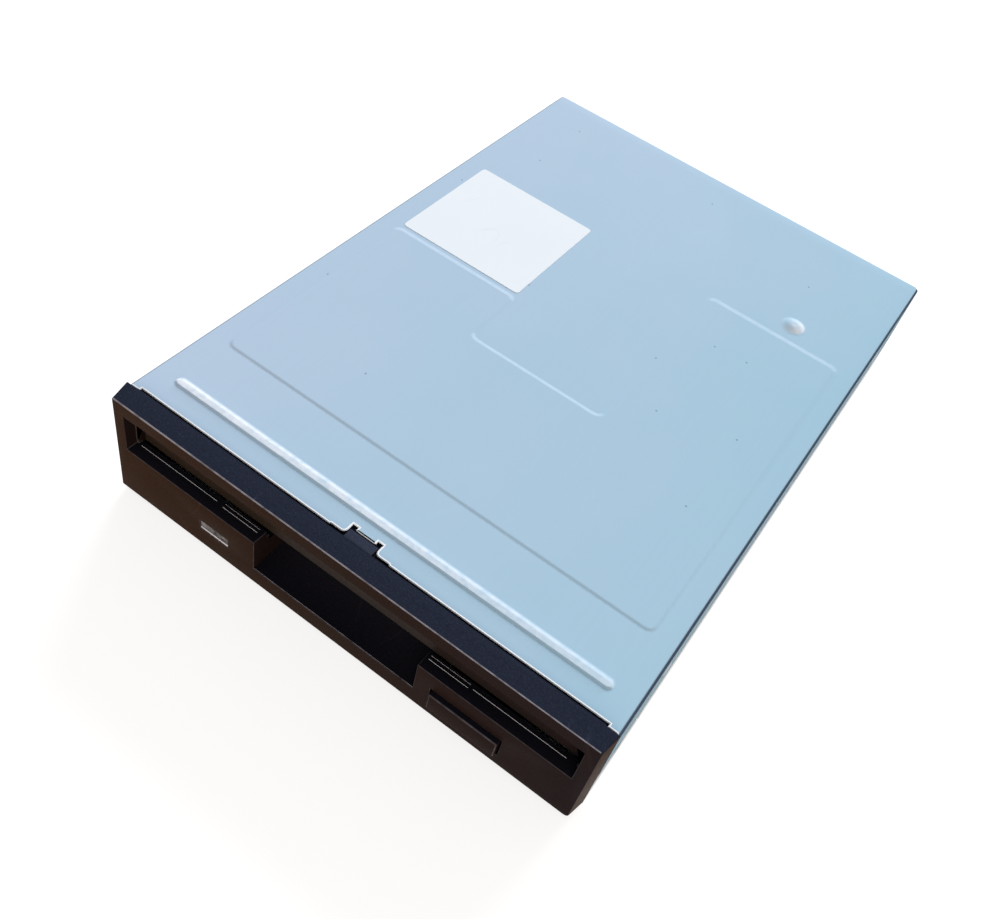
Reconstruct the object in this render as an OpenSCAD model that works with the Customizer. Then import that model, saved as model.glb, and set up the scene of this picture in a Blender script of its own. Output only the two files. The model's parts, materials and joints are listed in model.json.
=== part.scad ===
// Internal floppy disk drive, one inch high, for 90 mm cartridges.
// Places inside the drive are given as x, v, z: x from the centre plane, v back from the bezel's
// face and z up from the base. The model's origin is the centre of its footprint, on the base.

/* [Outline] */
// Width over the bezel and the chassis walls
drive_w = 101.6; // [101:0.1:106]
// Height from the base to the top of the bezel
drive_h = 25.4; // [25:0.1:28]
// Length from the bezel's face to the rear edge of the cover
drive_len = 146; // [145:0.5:156]

/* [Sheet metal] */
// Thickness of the chassis sheet
chassis_t = 1; // [0.8:0.05:1.2]
// Thickness of the cover sheet
cover_t = 0.5; // [0.4:0.05:0.6]
// Depth of the cover's flat below the top of the bezel
cover_drop = 0.9; // [0.7:0.05:1.2]
// Gap between the cover's flanges and the chassis walls
cover_gap = 0.1; // [0.05:0.05:0.2]
// Height where the chassis walls step inwards to leave room for the cover's flanges
joggle_z = 9.8; // [9:0.1:10.2]
// Height of the chassis rear wall
rear_wall_h = 13; // [12.9:0.1:14]

/* [Cover pressings] */
// Height of the raised panel above the flat
panel_rise = 0.4; // [0.2:0.05:0.45]
// Half width of the raised panel
panel_half_w = 46; // [43:0.5:48]
// Front edge of the raised panel
panel_front = 22.7; // [20:0.1:26]
// Rear edge of the panel's right arm
panel_rear = 104.2; // [95:0.5:115]
// Rear edge of the panel's left arm, in front of the label
panel_left_rear = 71.6; // [68:0.1:72]
// Front edge of the notch between the panel's arms
notch_front = 56.6; // [50:0.1:62]
// Half width of the notch between the panel's arms
notch_half_w = 15.3; // [13:0.1:15.4]
// Height of the rib and of the dimple above the flat
rib_rise = 0.8; // [0.4:0.05:0.85]
// Centre line of the front rib
rib_v = 10.6; // [10:0.1:14]
// Width of the front rib
rib_w = 2.4; // [1.5:0.1:3]
// Diameter of the dimple
dimple_d = 4.4; // [3:0.1:6]
// Side of the square label
label_side = 30; // [20:0.5:30]

/* [Bezel] */
// Depth of the bezel block at its corners
bezel_d = 3.9; // [3.6:0.1:4.4]
// How much narrower the bezel's face is on each side than its back
bezel_draft = 0.7; // [0.3:0.05:1]
// Thickness of the bezel's front wall
bezel_t = 2; // [1.6:0.1:2.2]
// Height of the ledge under the disk slot
slot_z = 12.9; // [12.7:0.05:13.1]
// Height of the disk slot
slot_h = 4.6; // [4.4:0.1:4.8]
// Depth of the slot's lip behind the face
lip_d = 2.4; // [2:0.1:2.6]
// Half width of the finger recess
recess_half_w = 17.7; // [14:0.1:18.5]
// Floor of the finger recess
recess_floor = 5.1; // [4.6:0.1:6]
// Depth of the finger recess
recess_d = 11; // [8:0.5:11]
// Middle of the lamp window
lamp_x = -27.05; // [-32:0.05:-25]
// Width of the lamp window
lamp_w = 6.5; // [4:0.1:8]
// Height of the lamp window
lamp_h = 2.3; // [1.5:0.1:3]

/* [Eject button] */
// Middle of the button
button_x = 28.15; // [27:0.05:31]
// Width of the button
button_w = 13.7; // [9:0.1:14]
// Height of the button
button_h = 4.3; // [3.5:0.1:4.6]
// How far the button stands in front of the bezel
button_proud = 0.9; // [0.3:0.1:1.5]
// Gap around the button
button_gap = 0.4; // [0.2:0.05:0.5]

/* [Disk mechanism] */
// Underside of a disk as it enters the slot
disk_z = 13.4; // [13.3:0.05:13.5]
// How far the holder lowers the disk onto the spindle
disk_drop = 2.7; // [2.4:0.05:2.8]
// Travel of the slide plate and the button
eject_travel = 6; // [5:0.1:6]
// Thickness of the slide plate
slide_t = 0.8; // [0.6:0.05:0.9]
// Thickness of the disk holder's sheet
holder_t = 0.6; // [0.5:0.05:0.7]
// Diameter of the holder's pins and of the studs that guide the slide plate
pin_d = 2; // [1.6:0.1:2.2]
// Clearance all round a pin in its slot
pin_gap = 0.1; // [0.06:0.02:0.1]
// Turns of each eject spring
spring_turns = 13; // [8:1:16]

/* [Spindle and heads] */
// Middle of the spindle, behind the face
spindle_v = 55; // [54:0.25:56]
// Distance from the spindle to the heads on the outermost track
track_r = 39.5; // [39:0.25:40]
// Travel of the head carriage
head_travel = 14.8; // [12:0.1:14.8]
// Diameter of the spindle shaft
shaft_d = 4; // [3:0.1:4]
// Radius of the rotor
rotor_r = 22; // [21:0.1:22]
// Poles of the stator
stator_poles = 9; // [6:3:9]
// Diameter of the carriage's main rod
main_rod_d = 3; // [2.5:0.1:3]
// Diameter of the carriage's side rod
side_rod_d = 2; // [1.6:0.1:2]
// Radial clearance of the turning and sliding fits
run_gap = 0.05; // [0.03:0.01:0.08]
// Diameter of the lead screw
screw_d = 3; // [2.6:0.1:3]
// Advance of the lead screw in one turn
screw_lead = 3.75; // [3:0.25:4]
// Diameter of the stepper motor
stepper_d = 15; // [13:0.5:15]
// Length of the stepper motor
stepper_len = 13; // [10:0.5:14]

/* [Boards] */
// Height of both boards' undersides
board_z = 2; // [1.8:0.1:2.2]
// Thickness of the motor board
motor_board_t = 1; // [0.8:0.1:1.2]
// Thickness of the main board
main_board_t = 1.6; // [1.2:0.1:1.6]
// Pins in each of the signal connector's two rows
signal_cols = 17; // [13:1:17]
// Spacing of the signal pins
signal_pitch = 2.54; // [2:0.02:2.54]
// Spacing of the power pins
power_pitch = 2.5; // [2:0.1:2.54]
// Diameter of the board screws
screw_shank_d = 2; // [1.6:0.1:2.2]

/* [Mounting holes] */
// Radius of the threaded mounting holes
mount_r = 1.25; // [1.1:0.05:1.5]
// First mounting hole behind the face
mount_v = 21; // [20:0.5:24]
// Distance between the front and rear mounting holes
mount_pitch = 70; // [68:0.5:70]
// Height of the side holes
side_mount_z = 5; // [4.5:0.1:5.5]
// Distance between the left and right base holes
base_mount_w = 90; // [89:0.2:90]

/* [Hidden] */
$fn = 48;

// Main places
face_y = (button_proud - drive_len) / 2;
half_w = drive_w / 2;
flat_gap = 0.3;
face_gap = 0.1;
cover_z = drive_h - cover_drop;
cover_under = cover_z - cover_t;
low_wall_in = half_w - chassis_t;
wall_out = half_w - cover_t - cover_gap;
wall_in = wall_out - chassis_t;
joggle = half_w - wall_out;
joggle_top = joggle_z + joggle;
wall_top = cover_under - 0.8;
wall_v = bezel_d + 0.2;
wall_rear = drive_len - cover_t - face_gap;
floor_v = bezel_d + 1.2;
dimple_x = panel_half_w - 13;

// Widths, worked inwards from the walls
neck_out = wall_in - flat_gap;
neck_t = 1.5;
neck_in = neck_out - neck_t;
slide_out = neck_in - 0.4;
slide_in = slide_out - slide_t;
holder_out = slide_in - flat_gap;
holder_in = holder_out - holder_t;
slot_half_w = holder_in + 0.9;

// Heights and depths of the disk's path
disk_t = 3.3;
rest_z = disk_z - disk_drop;
holder_lip_z = disk_z - 0.2 - holder_t;
holder_top_z = disk_z + disk_t + 0.5;
holder_top = holder_top_z + holder_t;
holder_v = 11.5;
holder_rear = spindle_v + 46;
pin_z = disk_z + 1.8;
pin_r = pin_d / 2;
slot_r = pin_r + pin_gap;
pin_vs = [38, 88];
stud_vs = [26, 76];
stud_z = pin_z + 2.4;
slide_wall_z = pin_z - disk_drop - slot_r - 1.6;
slide_top_z = holder_top + 1.8;
slide_top = slide_top_z + slide_t;
slide_v = 20;
slide_rear = 105;
slide_wall_v = 17;
strip_in = slide_out - 9;

// Bezel
face_half_w = half_w - bezel_draft;
face_low = 1.15;
face_top = drive_h - 0.53;
corner_x = half_w - 2.6;
bezel_mid_d = bezel_d + 1;
neck_v = bezel_mid_d + 3;
neck_z = chassis_t + 0.2;
neck_top = cover_under - 0.3;
chamber_z = neck_z + 1.2;
chamber_top = slot_z - 1.5;
door_chamber_top = neck_top - 2;
slot_top = slot_z + slot_h;
recess_end = slot_half_w + 1.6;
recess_top = 22;
pocket_t = 1.2;
tab_half_w = 2.9;
lamp_z = 6.75;
button_z = 6.35;
hook_z = 7.5;

// Slot door
door_v = lip_d + 1;
door_t = 1.2;
door_r = 1;
door_axis_v = door_v + door_r;
door_axis_z = slot_top + 1.9;
door_half_w = neck_in - 0.5;
door_pin_r = 0.6;
door_low = slot_z + 0.4;
spring_room = 3;

// Slide plate's arm to the button
arm_v = 8.6;
arm_z0 = 5;
arm_z1 = 7.8;
stake_r = 0.9;

// Eject springs
spring_x = slide_out - 4;
spring_z = slide_top + 1.7;
spring_front = 41;
spring_rear = 70;
spring_r = 1.1;
wire_r = 0.2;

// Latch lever, whose finger sweeps an arc beside the head arm's opening
opening_half_w = 12.5;
lever_x = slide_in - 10.2;
lever_v = spindle_v + 37;
lever_z = holder_top + 0.2;
lever_t = 0.8;
lever_rest = -140;
finger_r = 1.4;
finger_gap = 0.5;
finger_web = 2.6;
lever_reach = lever_x - opening_half_w - finger_web - finger_gap - finger_r;
finger_x = lever_x + lever_reach * cos(lever_rest);
finger_v = lever_v + lever_reach * sin(lever_rest);
latch_reach = 7;
pivot_r = 1.5;

// Spindle motor
board_top = board_z + motor_board_t;
shaft_r = shaft_d / 2;
bearing_r = shaft_r + 1.6;
core_z = board_top + 1;
core_t = 1.6;
rotor_z = board_top + 0.6;
rotor_top = rotor_z + 4.6;
rotor_t = 0.8;
hub_r = 11;
hub_top = rest_z - 0.2;
pin_orbit = 8.5;
drive_pin_r = 1.2;
magnet_t = 1.6;
tooth_r = rotor_r - rotor_t - magnet_t - 0.6;
motor_half_w = low_wall_in - 9.3;
motor_v = 13;

// Head carriage, drawn with the heads on the outermost track
head_v = spindle_v + track_r;
media_z = rest_z + disk_t / 2;
carriage_v = head_v - 2;
main_rod_x = 13;
side_rod_x = -11;
rod_z = rest_z - 2.5;
carriage_top = rod_z + 1.8;
boss_top = carriage_top + 0.2;
post_len = 3.5;
post_gap = 0.5;
rod_front = carriage_v + 2.8 - head_travel - post_len;
hinge_v = drive_len - 23;
arm_len = hinge_v - head_v;
post_rear_v = hinge_v + 5;
side_post_v = head_v + 0.69 * arm_len;
hinge_z = 20;
hinge_r = 0.8;
block_x = -9;
block_top = 16.5;
arm_low = hinge_z - 0.8;
arm_t = 1.6;
lift_len = 0.56 * arm_len;
lift_v = hinge_v - lift_len;
arm_drop = asin(disk_drop / (lift_len + 0.45));
fork_v = head_v + 0.16 * arm_len;
fork_rear = head_v + 0.37 * arm_len;
flag_x = 20.3;
flag_v = side_post_v;
flag_t = 0.8;

motor_rear = rod_front - 0.5;

// Lead screw and stepper motor
screw_x = -20;
screw_z = 11.8;
bracket_v = hinge_v + 1;
bracket_t = 1;
bracket_half_w = 9;
bracket_foot = 6;
bearing_v = holder_rear + 2;
bearing_len = 2;
journal_r = 1;

// Boards
main_top = board_z + main_board_t;
main_half_w = low_wall_in - 2.8;
main_v = holder_rear - 5;
main_rear = drive_len - 2;
motor_screw_x = motor_half_w - 5.5;
main_screw_x = main_half_w - 3;
plug_d = 9.5;
motor_screws = [for (x = [-1, 1], v = [30, spindle_v + 13]) [x * motor_screw_x, v]];
main_screws = [for (x = [-1, 1], v = [main_v + 4, drive_len - plug_d - 10.5]) [x * main_screw_x, v]];
well_x0 = screw_x - 11;
well_x1 = -7;
well_v = bearing_v - 1.5;
plug_side = 1.5;
signal_w = signal_pitch * (signal_cols - 1) + 9.4;
signal_x = main_half_w - plug_side - signal_w / 2;
signal_h = 8.8;
power_w = power_pitch * 3 + 5;
power_x = plug_side + power_w / 2 - main_half_w;
power_h = 7;
plug_t = 1.2;
plug_back = 1.5;
pin_side = 0.64;
cable_x = motor_half_w - 10.5;
cable_w = 12;
cable_z = main_top + 0.7;
switch_x = motor_half_w - 3.5;
switch_places = [[-switch_x, 17], [switch_x, 17], [switch_x - 7, 17]];
switch_side = 5;
switch_top = 8.6;
plunger_r = 1;
plunger_top = rest_z + 0.9;
plunger_travel = 1;

// Helpers
module from_face() {
    translate([0, face_y, 0]) children();
}

module both_sides() {
    children();
    mirror([1, 0, 0]) children();
}

module block(x0, x1, v0, v1, z0, z1) {
    translate([x0, v0, z0]) cube([x1 - x0, v1 - v0, z1 - z0]);
}

module post(x, v, z0, z1, r) {
    translate([x, v, z0]) cylinder(r = r, h = z1 - z0);
}

module rod_along_v(x, v0, v1, z, r) {
    translate([x, v0, z]) rotate([-90, 0, 0]) cylinder(r = r, h = v1 - v0);
}

module rod_along_x(x0, x1, v, z, r) {
    translate([x0, v, z]) rotate([0, 90, 0]) cylinder(r = r, h = x1 - x0);
}

// An outline in v and z, drawn from x0 to x1
module along_x(x0, x1) {
    translate([x0, 0, 0]) rotate([90, 0, 90]) linear_extrude(x1 - x0) children();
}

// An outline in x and z, drawn from v0 to v1
module along_v(v0, v1) {
    translate([0, v1, 0]) rotate([90, 0, 0]) linear_extrude(v1 - v0) children();
}

// A slot with round ends between two points
module slot_outline(p, q, r) {
    step = (q - p) / norm(q - p);
    side = [-step[1], step[0]] * r;
    translate(p) circle(r);
    translate(q) circle(r);
    polygon([p + side, p - side, q - side, q + side]);
}

// A coil spring along z, as one tube with six sides and eight rings a turn
module coil(radius, wire, length, turns) {
    echo(gap_between_turns = length / turns - 2 * wire);
    rings = 8 * turns;
    sides = 6;
    points = [
        for (i = [0 : rings], j = [0 : sides - 1])
            let (a = 45 * i, b = 60 * j, r = radius + wire * cos(b))
            [r * cos(a), r * sin(a), length * i / rings + wire * sin(b)]
    ];
    skin = [
        for (i = [0 : rings - 1], j = [0 : sides - 1])
            let (k = (j + 1) % sides, a = sides * i, b = sides * (i + 1))
            each [[a + j, a + k, b + k], [a + j, b + k, b + j]]
    ];
    first = [for (j = [1 : sides - 2]) [0, j + 1, j]];
    end = sides * rings;
    last = [for (j = [1 : sides - 2]) [end, end + j, end + j + 1]];
    polyhedron(points, concat(skin, first, last));
}

module raised_panel(inset) {
    a = panel_half_w - inset;
    n = notch_half_w + inset;
    polygon([
        [-a, panel_front + inset], [a, panel_front + inset],
        [a, panel_rear - inset], [n, panel_rear - inset],
        [n, notch_front - inset], [-n, notch_front - inset],
        [-n, panel_left_rear - inset], [-a, panel_left_rear - inset]
    ]);
}

// Chassis and cover
module chassis_wall() {
    along_v(wall_v, wall_rear) polygon([
        [half_w, 0], [half_w, joggle_z], [wall_out, joggle_top], [wall_out, wall_top],
        [wall_in, wall_top], [wall_in, joggle_top], [low_wall_in, joggle_z], [low_wall_in, 0]
    ]);
}

module cover_catches(r, x1) {
    for (v = [24, drive_len - 22]) {
        both_sides() rod_along_x(wall_in, x1, v, 17, r);
    }
}

module chassis() {
    color("#aab4ba") from_face() difference() {
        union() {
            both_sides() chassis_wall();
            block(-half_w, half_w, floor_v, drive_len, 0, chassis_t);
            block(-half_w, half_w, drive_len - chassis_t, drive_len, 0, joggle_z);
            block(-wall_out, wall_out, drive_len - chassis_t, drive_len, 0, rear_wall_h);
            // Round catches that hold the cover's flanges
            cover_catches(1.5, half_w);
            // Lugs that hold the front ends of the eject springs
            both_sides() block(spring_x - 2, wall_in + 0.1, spring_front - 1, spring_front,
                               spring_z - 1.2, wall_top);
            // Collars of the threaded mounting holes
            for (v = [mount_v, mount_v + mount_pitch]) {
                both_sides() rod_along_x(low_wall_in - 2, half_w, v, side_mount_z, mount_r + 1.4);
                both_sides() post(base_mount_w / 2, v, 0, chassis_t + 2, mount_r + 1.4);
            }
            // Seats of the two boards
            for (p = concat(motor_screws, main_screws)) {
                post(p[0], p[1], 0, board_z, screw_shank_d / 2 + 1.5);
            }
        }
        // Upright slots that guide the holder's pins, open at the top
        for (v = pin_vs) {
            low = pin_z - disk_drop;
            both_sides() block(wall_in - 1, half_w + 1, v - slot_r, v + slot_r, low, wall_top + 1);
            both_sides() rod_along_x(wall_in - 1, half_w + 1, v, low, slot_r);
        }
        for (v = stud_vs) {
            both_sides() rod_along_x(wall_in - 1, half_w + 1, v, stud_z, pin_r + run_gap);
        }
        for (v = [mount_v, mount_v + mount_pitch]) {
            both_sides() rod_along_x(low_wall_in - 3, half_w + 1, v, side_mount_z, mount_r);
            both_sides() post(base_mount_w / 2, v, -1, chassis_t + 3, mount_r);
        }
        for (p = concat(motor_screws, main_screws)) {
            post(p[0], p[1], -1, board_z + 1, screw_shank_d / 2 + run_gap);
        }
        // Windows for the bezel's side hooks
        both_sides()
            block(low_wall_in - 1, half_w + 1, neck_v + 2.7, neck_v + 5.3, hook_z - 1.8, hook_z + 1.8);
        // Openings in the floor under the motor, the carriage and the main board
        post(0, spindle_v, -1, chassis_t + 1, rotor_r + 2);
        block(-6, 8, main_v - 4, bracket_v + 4, -1, chassis_t + 1);
        block(main_half_w - 25, main_half_w - 7, main_v, drive_len - 12, -1, chassis_t + 1);
        block(6.5 - main_half_w, 15 - main_half_w, main_v, drive_len - 12, -1, chassis_t + 1);
        // Openings in the rear wall for the two connectors
        block(signal_x - signal_w / 2 - flat_gap, signal_x + signal_w / 2 + flat_gap,
              drive_len - chassis_t - 1, drive_len + 1, board_z + 1, rear_wall_h + 1);
        block(power_x - power_w / 2 - flat_gap, power_x + power_w / 2 + flat_gap,
              drive_len - chassis_t - 1, drive_len + 1, board_z + 1, rear_wall_h + 1);
    }
}

module top_cover() {
    front = bezel_mid_d + face_gap;
    color("#b4cede") from_face() difference() {
        union() {
            block(-half_w, half_w, front, drive_len, cover_under, cover_z);
            both_sides() block(corner_x + 0.2, half_w, wall_v, front + 1, cover_under, cover_z);
            both_sides() block(half_w - cover_t, half_w, wall_v, drive_len, joggle_top + 0.2, cover_z);
            block(-half_w, half_w, drive_len - cover_t, drive_len, rear_wall_h + flat_gap, cover_z);
            translate([0, 0, cover_under]) linear_extrude(cover_t + panel_rise) raised_panel(0);
            translate([0, 0, cover_under]) linear_extrude(cover_t + rib_rise) rib_outline(rib_w / 2);
            translate([dimple_x, panel_rear + 5.2, cover_under])
                cylinder(d = dimple_d, h = cover_t + rib_rise);
        }
        translate([0, 0, cover_under - 1]) linear_extrude(panel_rise + 1) raised_panel(cover_t);
        translate([0, 0, cover_under - 1]) linear_extrude(rib_rise + 1) rib_outline(rib_w / 2 - cover_t);
        translate([dimple_x, panel_rear + 5.2, cover_under - 1])
            cylinder(d = dimple_d - 2 * cover_t, h = rib_rise + 1);
        // Notch over the bezel's tab, with a relief in each corner
        block(-tab_half_w - 0.2, tab_half_w + 0.2, front - 1, front + 1.7, cover_under - 1, cover_z + 1);
        both_sides()
            block(tab_half_w - 0.9, tab_half_w + 0.1, front, front + 2.4, cover_under - 1, cover_z + 1);
        cover_catches(1.5 + face_gap, half_w + 1);
    }
}

module rib_outline(r) {
    slot_outline([-panel_half_w + rib_w / 2, rib_v], [panel_half_w - rib_w / 2, rib_v], r);
}

module blank_label() {
    front = panel_left_rear + 2.1;
    color("white") from_face()
        block(-notch_half_w - 0.4 - label_side, -notch_half_w - 0.4, front, front + label_side,
              cover_z, cover_z + 0.1);
}

// Bezel and its pieces
module bezel_block() {
    intersection() {
        along_x(-half_w, half_w) polygon([
            [0, face_low], [0, face_top], [bezel_d, drive_h], [bezel_mid_d, drive_h],
            [bezel_mid_d, 0], [bezel_d, 0]
        ]);
        linear_extrude(drive_h) polygon([
            [-face_half_w, 0], [face_half_w, 0], [half_w, bezel_d], [corner_x, bezel_d],
            [corner_x, bezel_mid_d], [-corner_x, bezel_mid_d], [-corner_x, bezel_d], [-half_w, bezel_d]
        ]);
    }
}

module slot_recess() {
    along_x(-recess_end, recess_end) polygon([
        [-1, recess_top + 1], [0, recess_top], [lip_d, slot_top], [lip_d, slot_z], [-1, slot_z]
    ]);
}

module finger_pocket() {
    back = recess_d + pocket_t;
    side = recess_half_w + pocket_t;
    block(-side, side, bezel_t - 0.1, back, recess_floor - pocket_t, recess_floor);
    block(-side, side, recess_d, back, recess_floor - pocket_t, rest_z - 0.6);
    both_sides() block(recess_half_w, side, bezel_t - 0.1, back, recess_floor - pocket_t, rest_z - 0.6);
    both_sides()
        block(recess_half_w, side, bezel_t - 0.1, bezel_d, recess_floor - pocket_t, chamber_top + 0.1);
}

module front_bezel() {
    color("#24232a") from_face() {
        difference() {
            union() {
                bezel_block();
                block(-neck_out, neck_out, bezel_d - 0.1, neck_v, neck_z, neck_top);
                block(-tab_half_w, tab_half_w, bezel_mid_d - 0.1, bezel_mid_d + 1.6, neck_top - 1,
                    cover_z - face_gap);
                // Side hooks that snap into the chassis walls
                both_sides() block(neck_in, neck_out, neck_v - 0.1, neck_v + 5, hook_z - 1.5, hook_z + 1.5);
                both_sides() block(neck_in, half_w - 0.3, neck_v + 3, neck_v + 5, hook_z - 1.5, hook_z + 1.5);
            }
            // Hollow behind the front wall, below and above the slot
            block(-neck_in, neck_in, bezel_t, neck_v + 1, chamber_z, chamber_top);
            block(-neck_in, neck_in, lip_d + 0.8, neck_v + 1, chamber_top - 1, door_chamber_top);
            block(-neck_in, neck_in, lip_d, neck_v + 1, slot_z, slot_top - 0.01);
            slot_recess();
            block(-slot_half_w, slot_half_w, -1, neck_v + 1, slot_z, slot_top);
            block(-recess_half_w, recess_half_w, -1, neck_v + 1, recess_floor, slot_z + 1);
            block(button_x - button_w / 2 - button_gap, button_x + button_w / 2 + button_gap, -1, bezel_t + 1,
                  button_z - button_h / 2 - button_gap, button_z + button_h / 2 + button_gap);
            block(lamp_x - lamp_w / 2, lamp_x + lamp_w / 2, -1, bezel_t + 1,
                  lamp_z - lamp_h / 2, lamp_z + lamp_h / 2);
            both_sides()
                rod_along_x(neck_in - 1, neck_out - 0.4, door_axis_v, door_axis_z, door_pin_r + run_gap);
        }
        finger_pocket();
        // Second step of the slot's lip beside the finger recess
        both_sides()
            block(recess_half_w, recess_half_w + 9, lip_d - 0.1, lip_d + 0.5, chamber_top, slot_z - 0.25);
    }
}

module slot_door() {
    color("#2b2526") from_face() difference() {
        union() {
            block(-door_half_w, door_half_w, door_v, door_v + door_t, door_low, door_axis_z);
            rod_along_x(-door_half_w + spring_room, door_half_w, door_axis_v, door_axis_z, door_r);
            rod_along_x(-neck_out + 0.6, neck_out - 0.6, door_axis_v, door_axis_z, door_pin_r);
        }
        // Room for the spring round the left pin
        difference() {
            block(-door_half_w - 1, -door_half_w + spring_room, door_v - 1, door_axis_v + 2,
                  door_axis_z - 1.7, door_axis_z + 2);
            rod_along_x(-neck_out, -door_half_w + spring_room + 1, door_axis_v, door_axis_z, door_pin_r);
        }
    }
}

module door_spring() {
    length = 2.1;
    color("silver") from_face()
        translate([-door_half_w + spring_room - length - 0.3, door_axis_v, door_axis_z])
            rotate([0, 90, 0]) coil(door_pin_r + 0.3, 0.12, length, 3);
}

module eject_button() {
    back = arm_v;
    color("#26242a") from_face() difference() {
        union() {
            block(button_x - button_w / 2, button_x + button_w / 2, -button_proud, back,
                  button_z - button_h / 2, button_z + button_h / 2);
            rod_along_v(button_x, back - 0.1, back + slide_t + 0.4, button_z, stake_r - run_gap);
        }
        // Hollow cut in from below
        block(button_x - button_w / 2 + 1.2, button_x + button_w / 2 - 1.2, 1, back - 1.2,
              button_z - button_h / 2 - 1, button_z + button_h / 2 - 1.2);
    }
}

module lamp_lens() {
    w = lamp_w / 2 - run_gap;
    h = lamp_h / 2 - run_gap;
    color("#b9b2aa") from_face() union() {
        block(lamp_x - w, lamp_x + w, 0.1, neck_v + 0.3, lamp_z - h, lamp_z + h);
        block(lamp_x - w - 0.7, lamp_x + w + 0.7, bezel_t, bezel_t + 0.8, lamp_z - h - 0.7, lamp_z + h + 0.7);
    }
}

module activity_lamp() {
    color("#cfe3c8") from_face() union() {
        block(lamp_x - 2.5, lamp_x + 2.5, neck_v + 0.6, neck_v + 2.6, board_top + 1.6, lamp_z + 1.6);
        for (x = [-1.27, 1.27]) {
            block(lamp_x + x - 0.25, lamp_x + x + 0.25, neck_v + 1.3, neck_v + 1.8, board_top,
                board_top + 1.7);
        }
    }
}

// Slide plate, holder and latch
module cam_slot(v) {
    slot_outline([v, pin_z], [v + eject_travel, pin_z - disk_drop], slot_r);
}

module slide_side(x0) {
    along_x(x0, x0 + slide_t) difference() {
        translate([slide_wall_v, slide_wall_z]) square([slide_rear - slide_wall_v, slide_top - slide_wall_z]);
        for (v = pin_vs) {
            cam_slot(v);
        }
        for (v = stud_vs) {
            slot_outline([v, stud_z], [v + eject_travel, stud_z], slot_r);
        }
    }
}

module slide_plate() {
    color("#c3c8c4") from_face() difference() {
        union() {
            slide_side(slide_in);
            slide_side(-slide_out);
            block(-slide_out, slide_out, slide_v, slide_v + 10, slide_top_z, slide_top);
            both_sides() block(strip_in, slide_out, slide_v, slide_rear, slide_top_z, slide_top);
            // Lugs that hold the rear ends of the eject springs
            both_sides() block(spring_x - 1.5, spring_x + 1.5, spring_rear, spring_rear + slide_t,
                               slide_top_z, spring_z + 1.2);
            // Tongue that the latch lever holds
            block(lever_x + 5.5, lever_x + 8.5, lever_v + 1.8, lever_v + 1.8 + slide_t,
                  holder_top + flat_gap, slide_top_z + 0.1);
            // Arm that carries the eject button
            block(slide_in, slide_out, arm_v, slide_wall_v + 5, arm_z0, slide_wall_z + 1.4);
            block(button_x - 4, slide_out, arm_v, arm_v + slide_t, arm_z0, arm_z1);
        }
        rod_along_v(button_x, arm_v - 1, arm_v + slide_t + 1, button_z, stake_r);
    }
}

module guide_studs() {
    color("silver") from_face() both_sides() {
        for (v = stud_vs) {
            rod_along_x(slide_in + 0.1, wall_out - 0.1, v, stud_z, pin_r);
            rod_along_x(slide_out + 0.2, wall_in, v, stud_z, pin_r + 0.7);
        }
    }
}

module eject_springs() {
    length = spring_rear - spring_front - 2 * wire_r - 0.4;
    color("silver") from_face() both_sides()
        translate([spring_x, spring_front + wire_r + 0.2, spring_z])
            rotate([-90, 0, 0]) coil(spring_r, wire_r, length, spring_turns);
}

module disk_holder() {
    color("#bfc6c6") from_face() difference() {
        union() {
            block(-holder_out, holder_out, holder_v, holder_rear, holder_top_z, holder_top);
            both_sides() block(holder_in, holder_out, holder_v, holder_rear, holder_lip_z, holder_top);
            both_sides() block(holder_in - 4, holder_out, holder_v, holder_rear,
                               holder_lip_z, holder_lip_z + holder_t);
            // Tongue that lifts the head arm
            block(opening_half_w, opening_half_w + 2.5, holder_rear - 1, lift_v + 2.5,
                holder_top_z, holder_top);
        }
        // Opening for the head arm
        block(-opening_half_w, opening_half_w, spindle_v + 11, holder_rear + 1, holder_top_z - 1,
            holder_top + 1);
        // Lightening window over the spindle
        post(0, spindle_v - 18, holder_top_z - 1, holder_top + 1, 9);
        // Arc that the latch lever's finger sweeps
        intersection() {
            difference() {
                post(lever_x, lever_v, holder_top_z - 1, holder_top + 1, lever_reach + finger_r + finger_gap);
                post(lever_x, lever_v, holder_top_z - 2, holder_top + 2, lever_reach - finger_r - finger_gap);
            }
            block(opening_half_w, finger_x + finger_r + 2 * finger_gap,
                finger_v - finger_r - 2 * finger_gap, holder_rear + 1, holder_top_z - 2, holder_top + 2);
        }
        post(lever_x, lever_v, holder_top_z - 1, holder_top + 1, pivot_r - 0.5 + run_gap);
        for (v = pin_vs) {
            both_sides() rod_along_x(holder_in - 1, holder_out + 1, v, pin_z, pin_r + run_gap);
        }
    }
}

module holder_pins() {
    color("silver") from_face() both_sides() {
        for (v = pin_vs) {
            rod_along_x(holder_in, wall_out - 0.2, v, pin_z, pin_r);
        }
    }
}

module latch_lever() {
    color("#d9d6cc") from_face() translate([lever_x, lever_v, lever_z]) difference() {
        union() {
            cylinder(r = pivot_r + 1.7, h = lever_t);
            rotate([0, 0, lever_rest]) translate([0, -2, 0]) cube([lever_reach, 4, lever_t]);
            rotate([0, 0, lever_rest]) translate([lever_reach, 0, 0]) cylinder(r = 2, h = lever_t);
            rotate([0, 0, lever_rest]) translate([lever_reach, 0, disk_z + 0.4 - lever_z])
                cylinder(r = finger_r, h = lever_z - disk_z);
            translate([0, -1.5, 0]) cube([latch_reach, 3, lever_t]);
        }
        translate([0, 0, -1]) cylinder(r = pivot_r + run_gap, h = lever_t + 2);
    }
}

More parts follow.
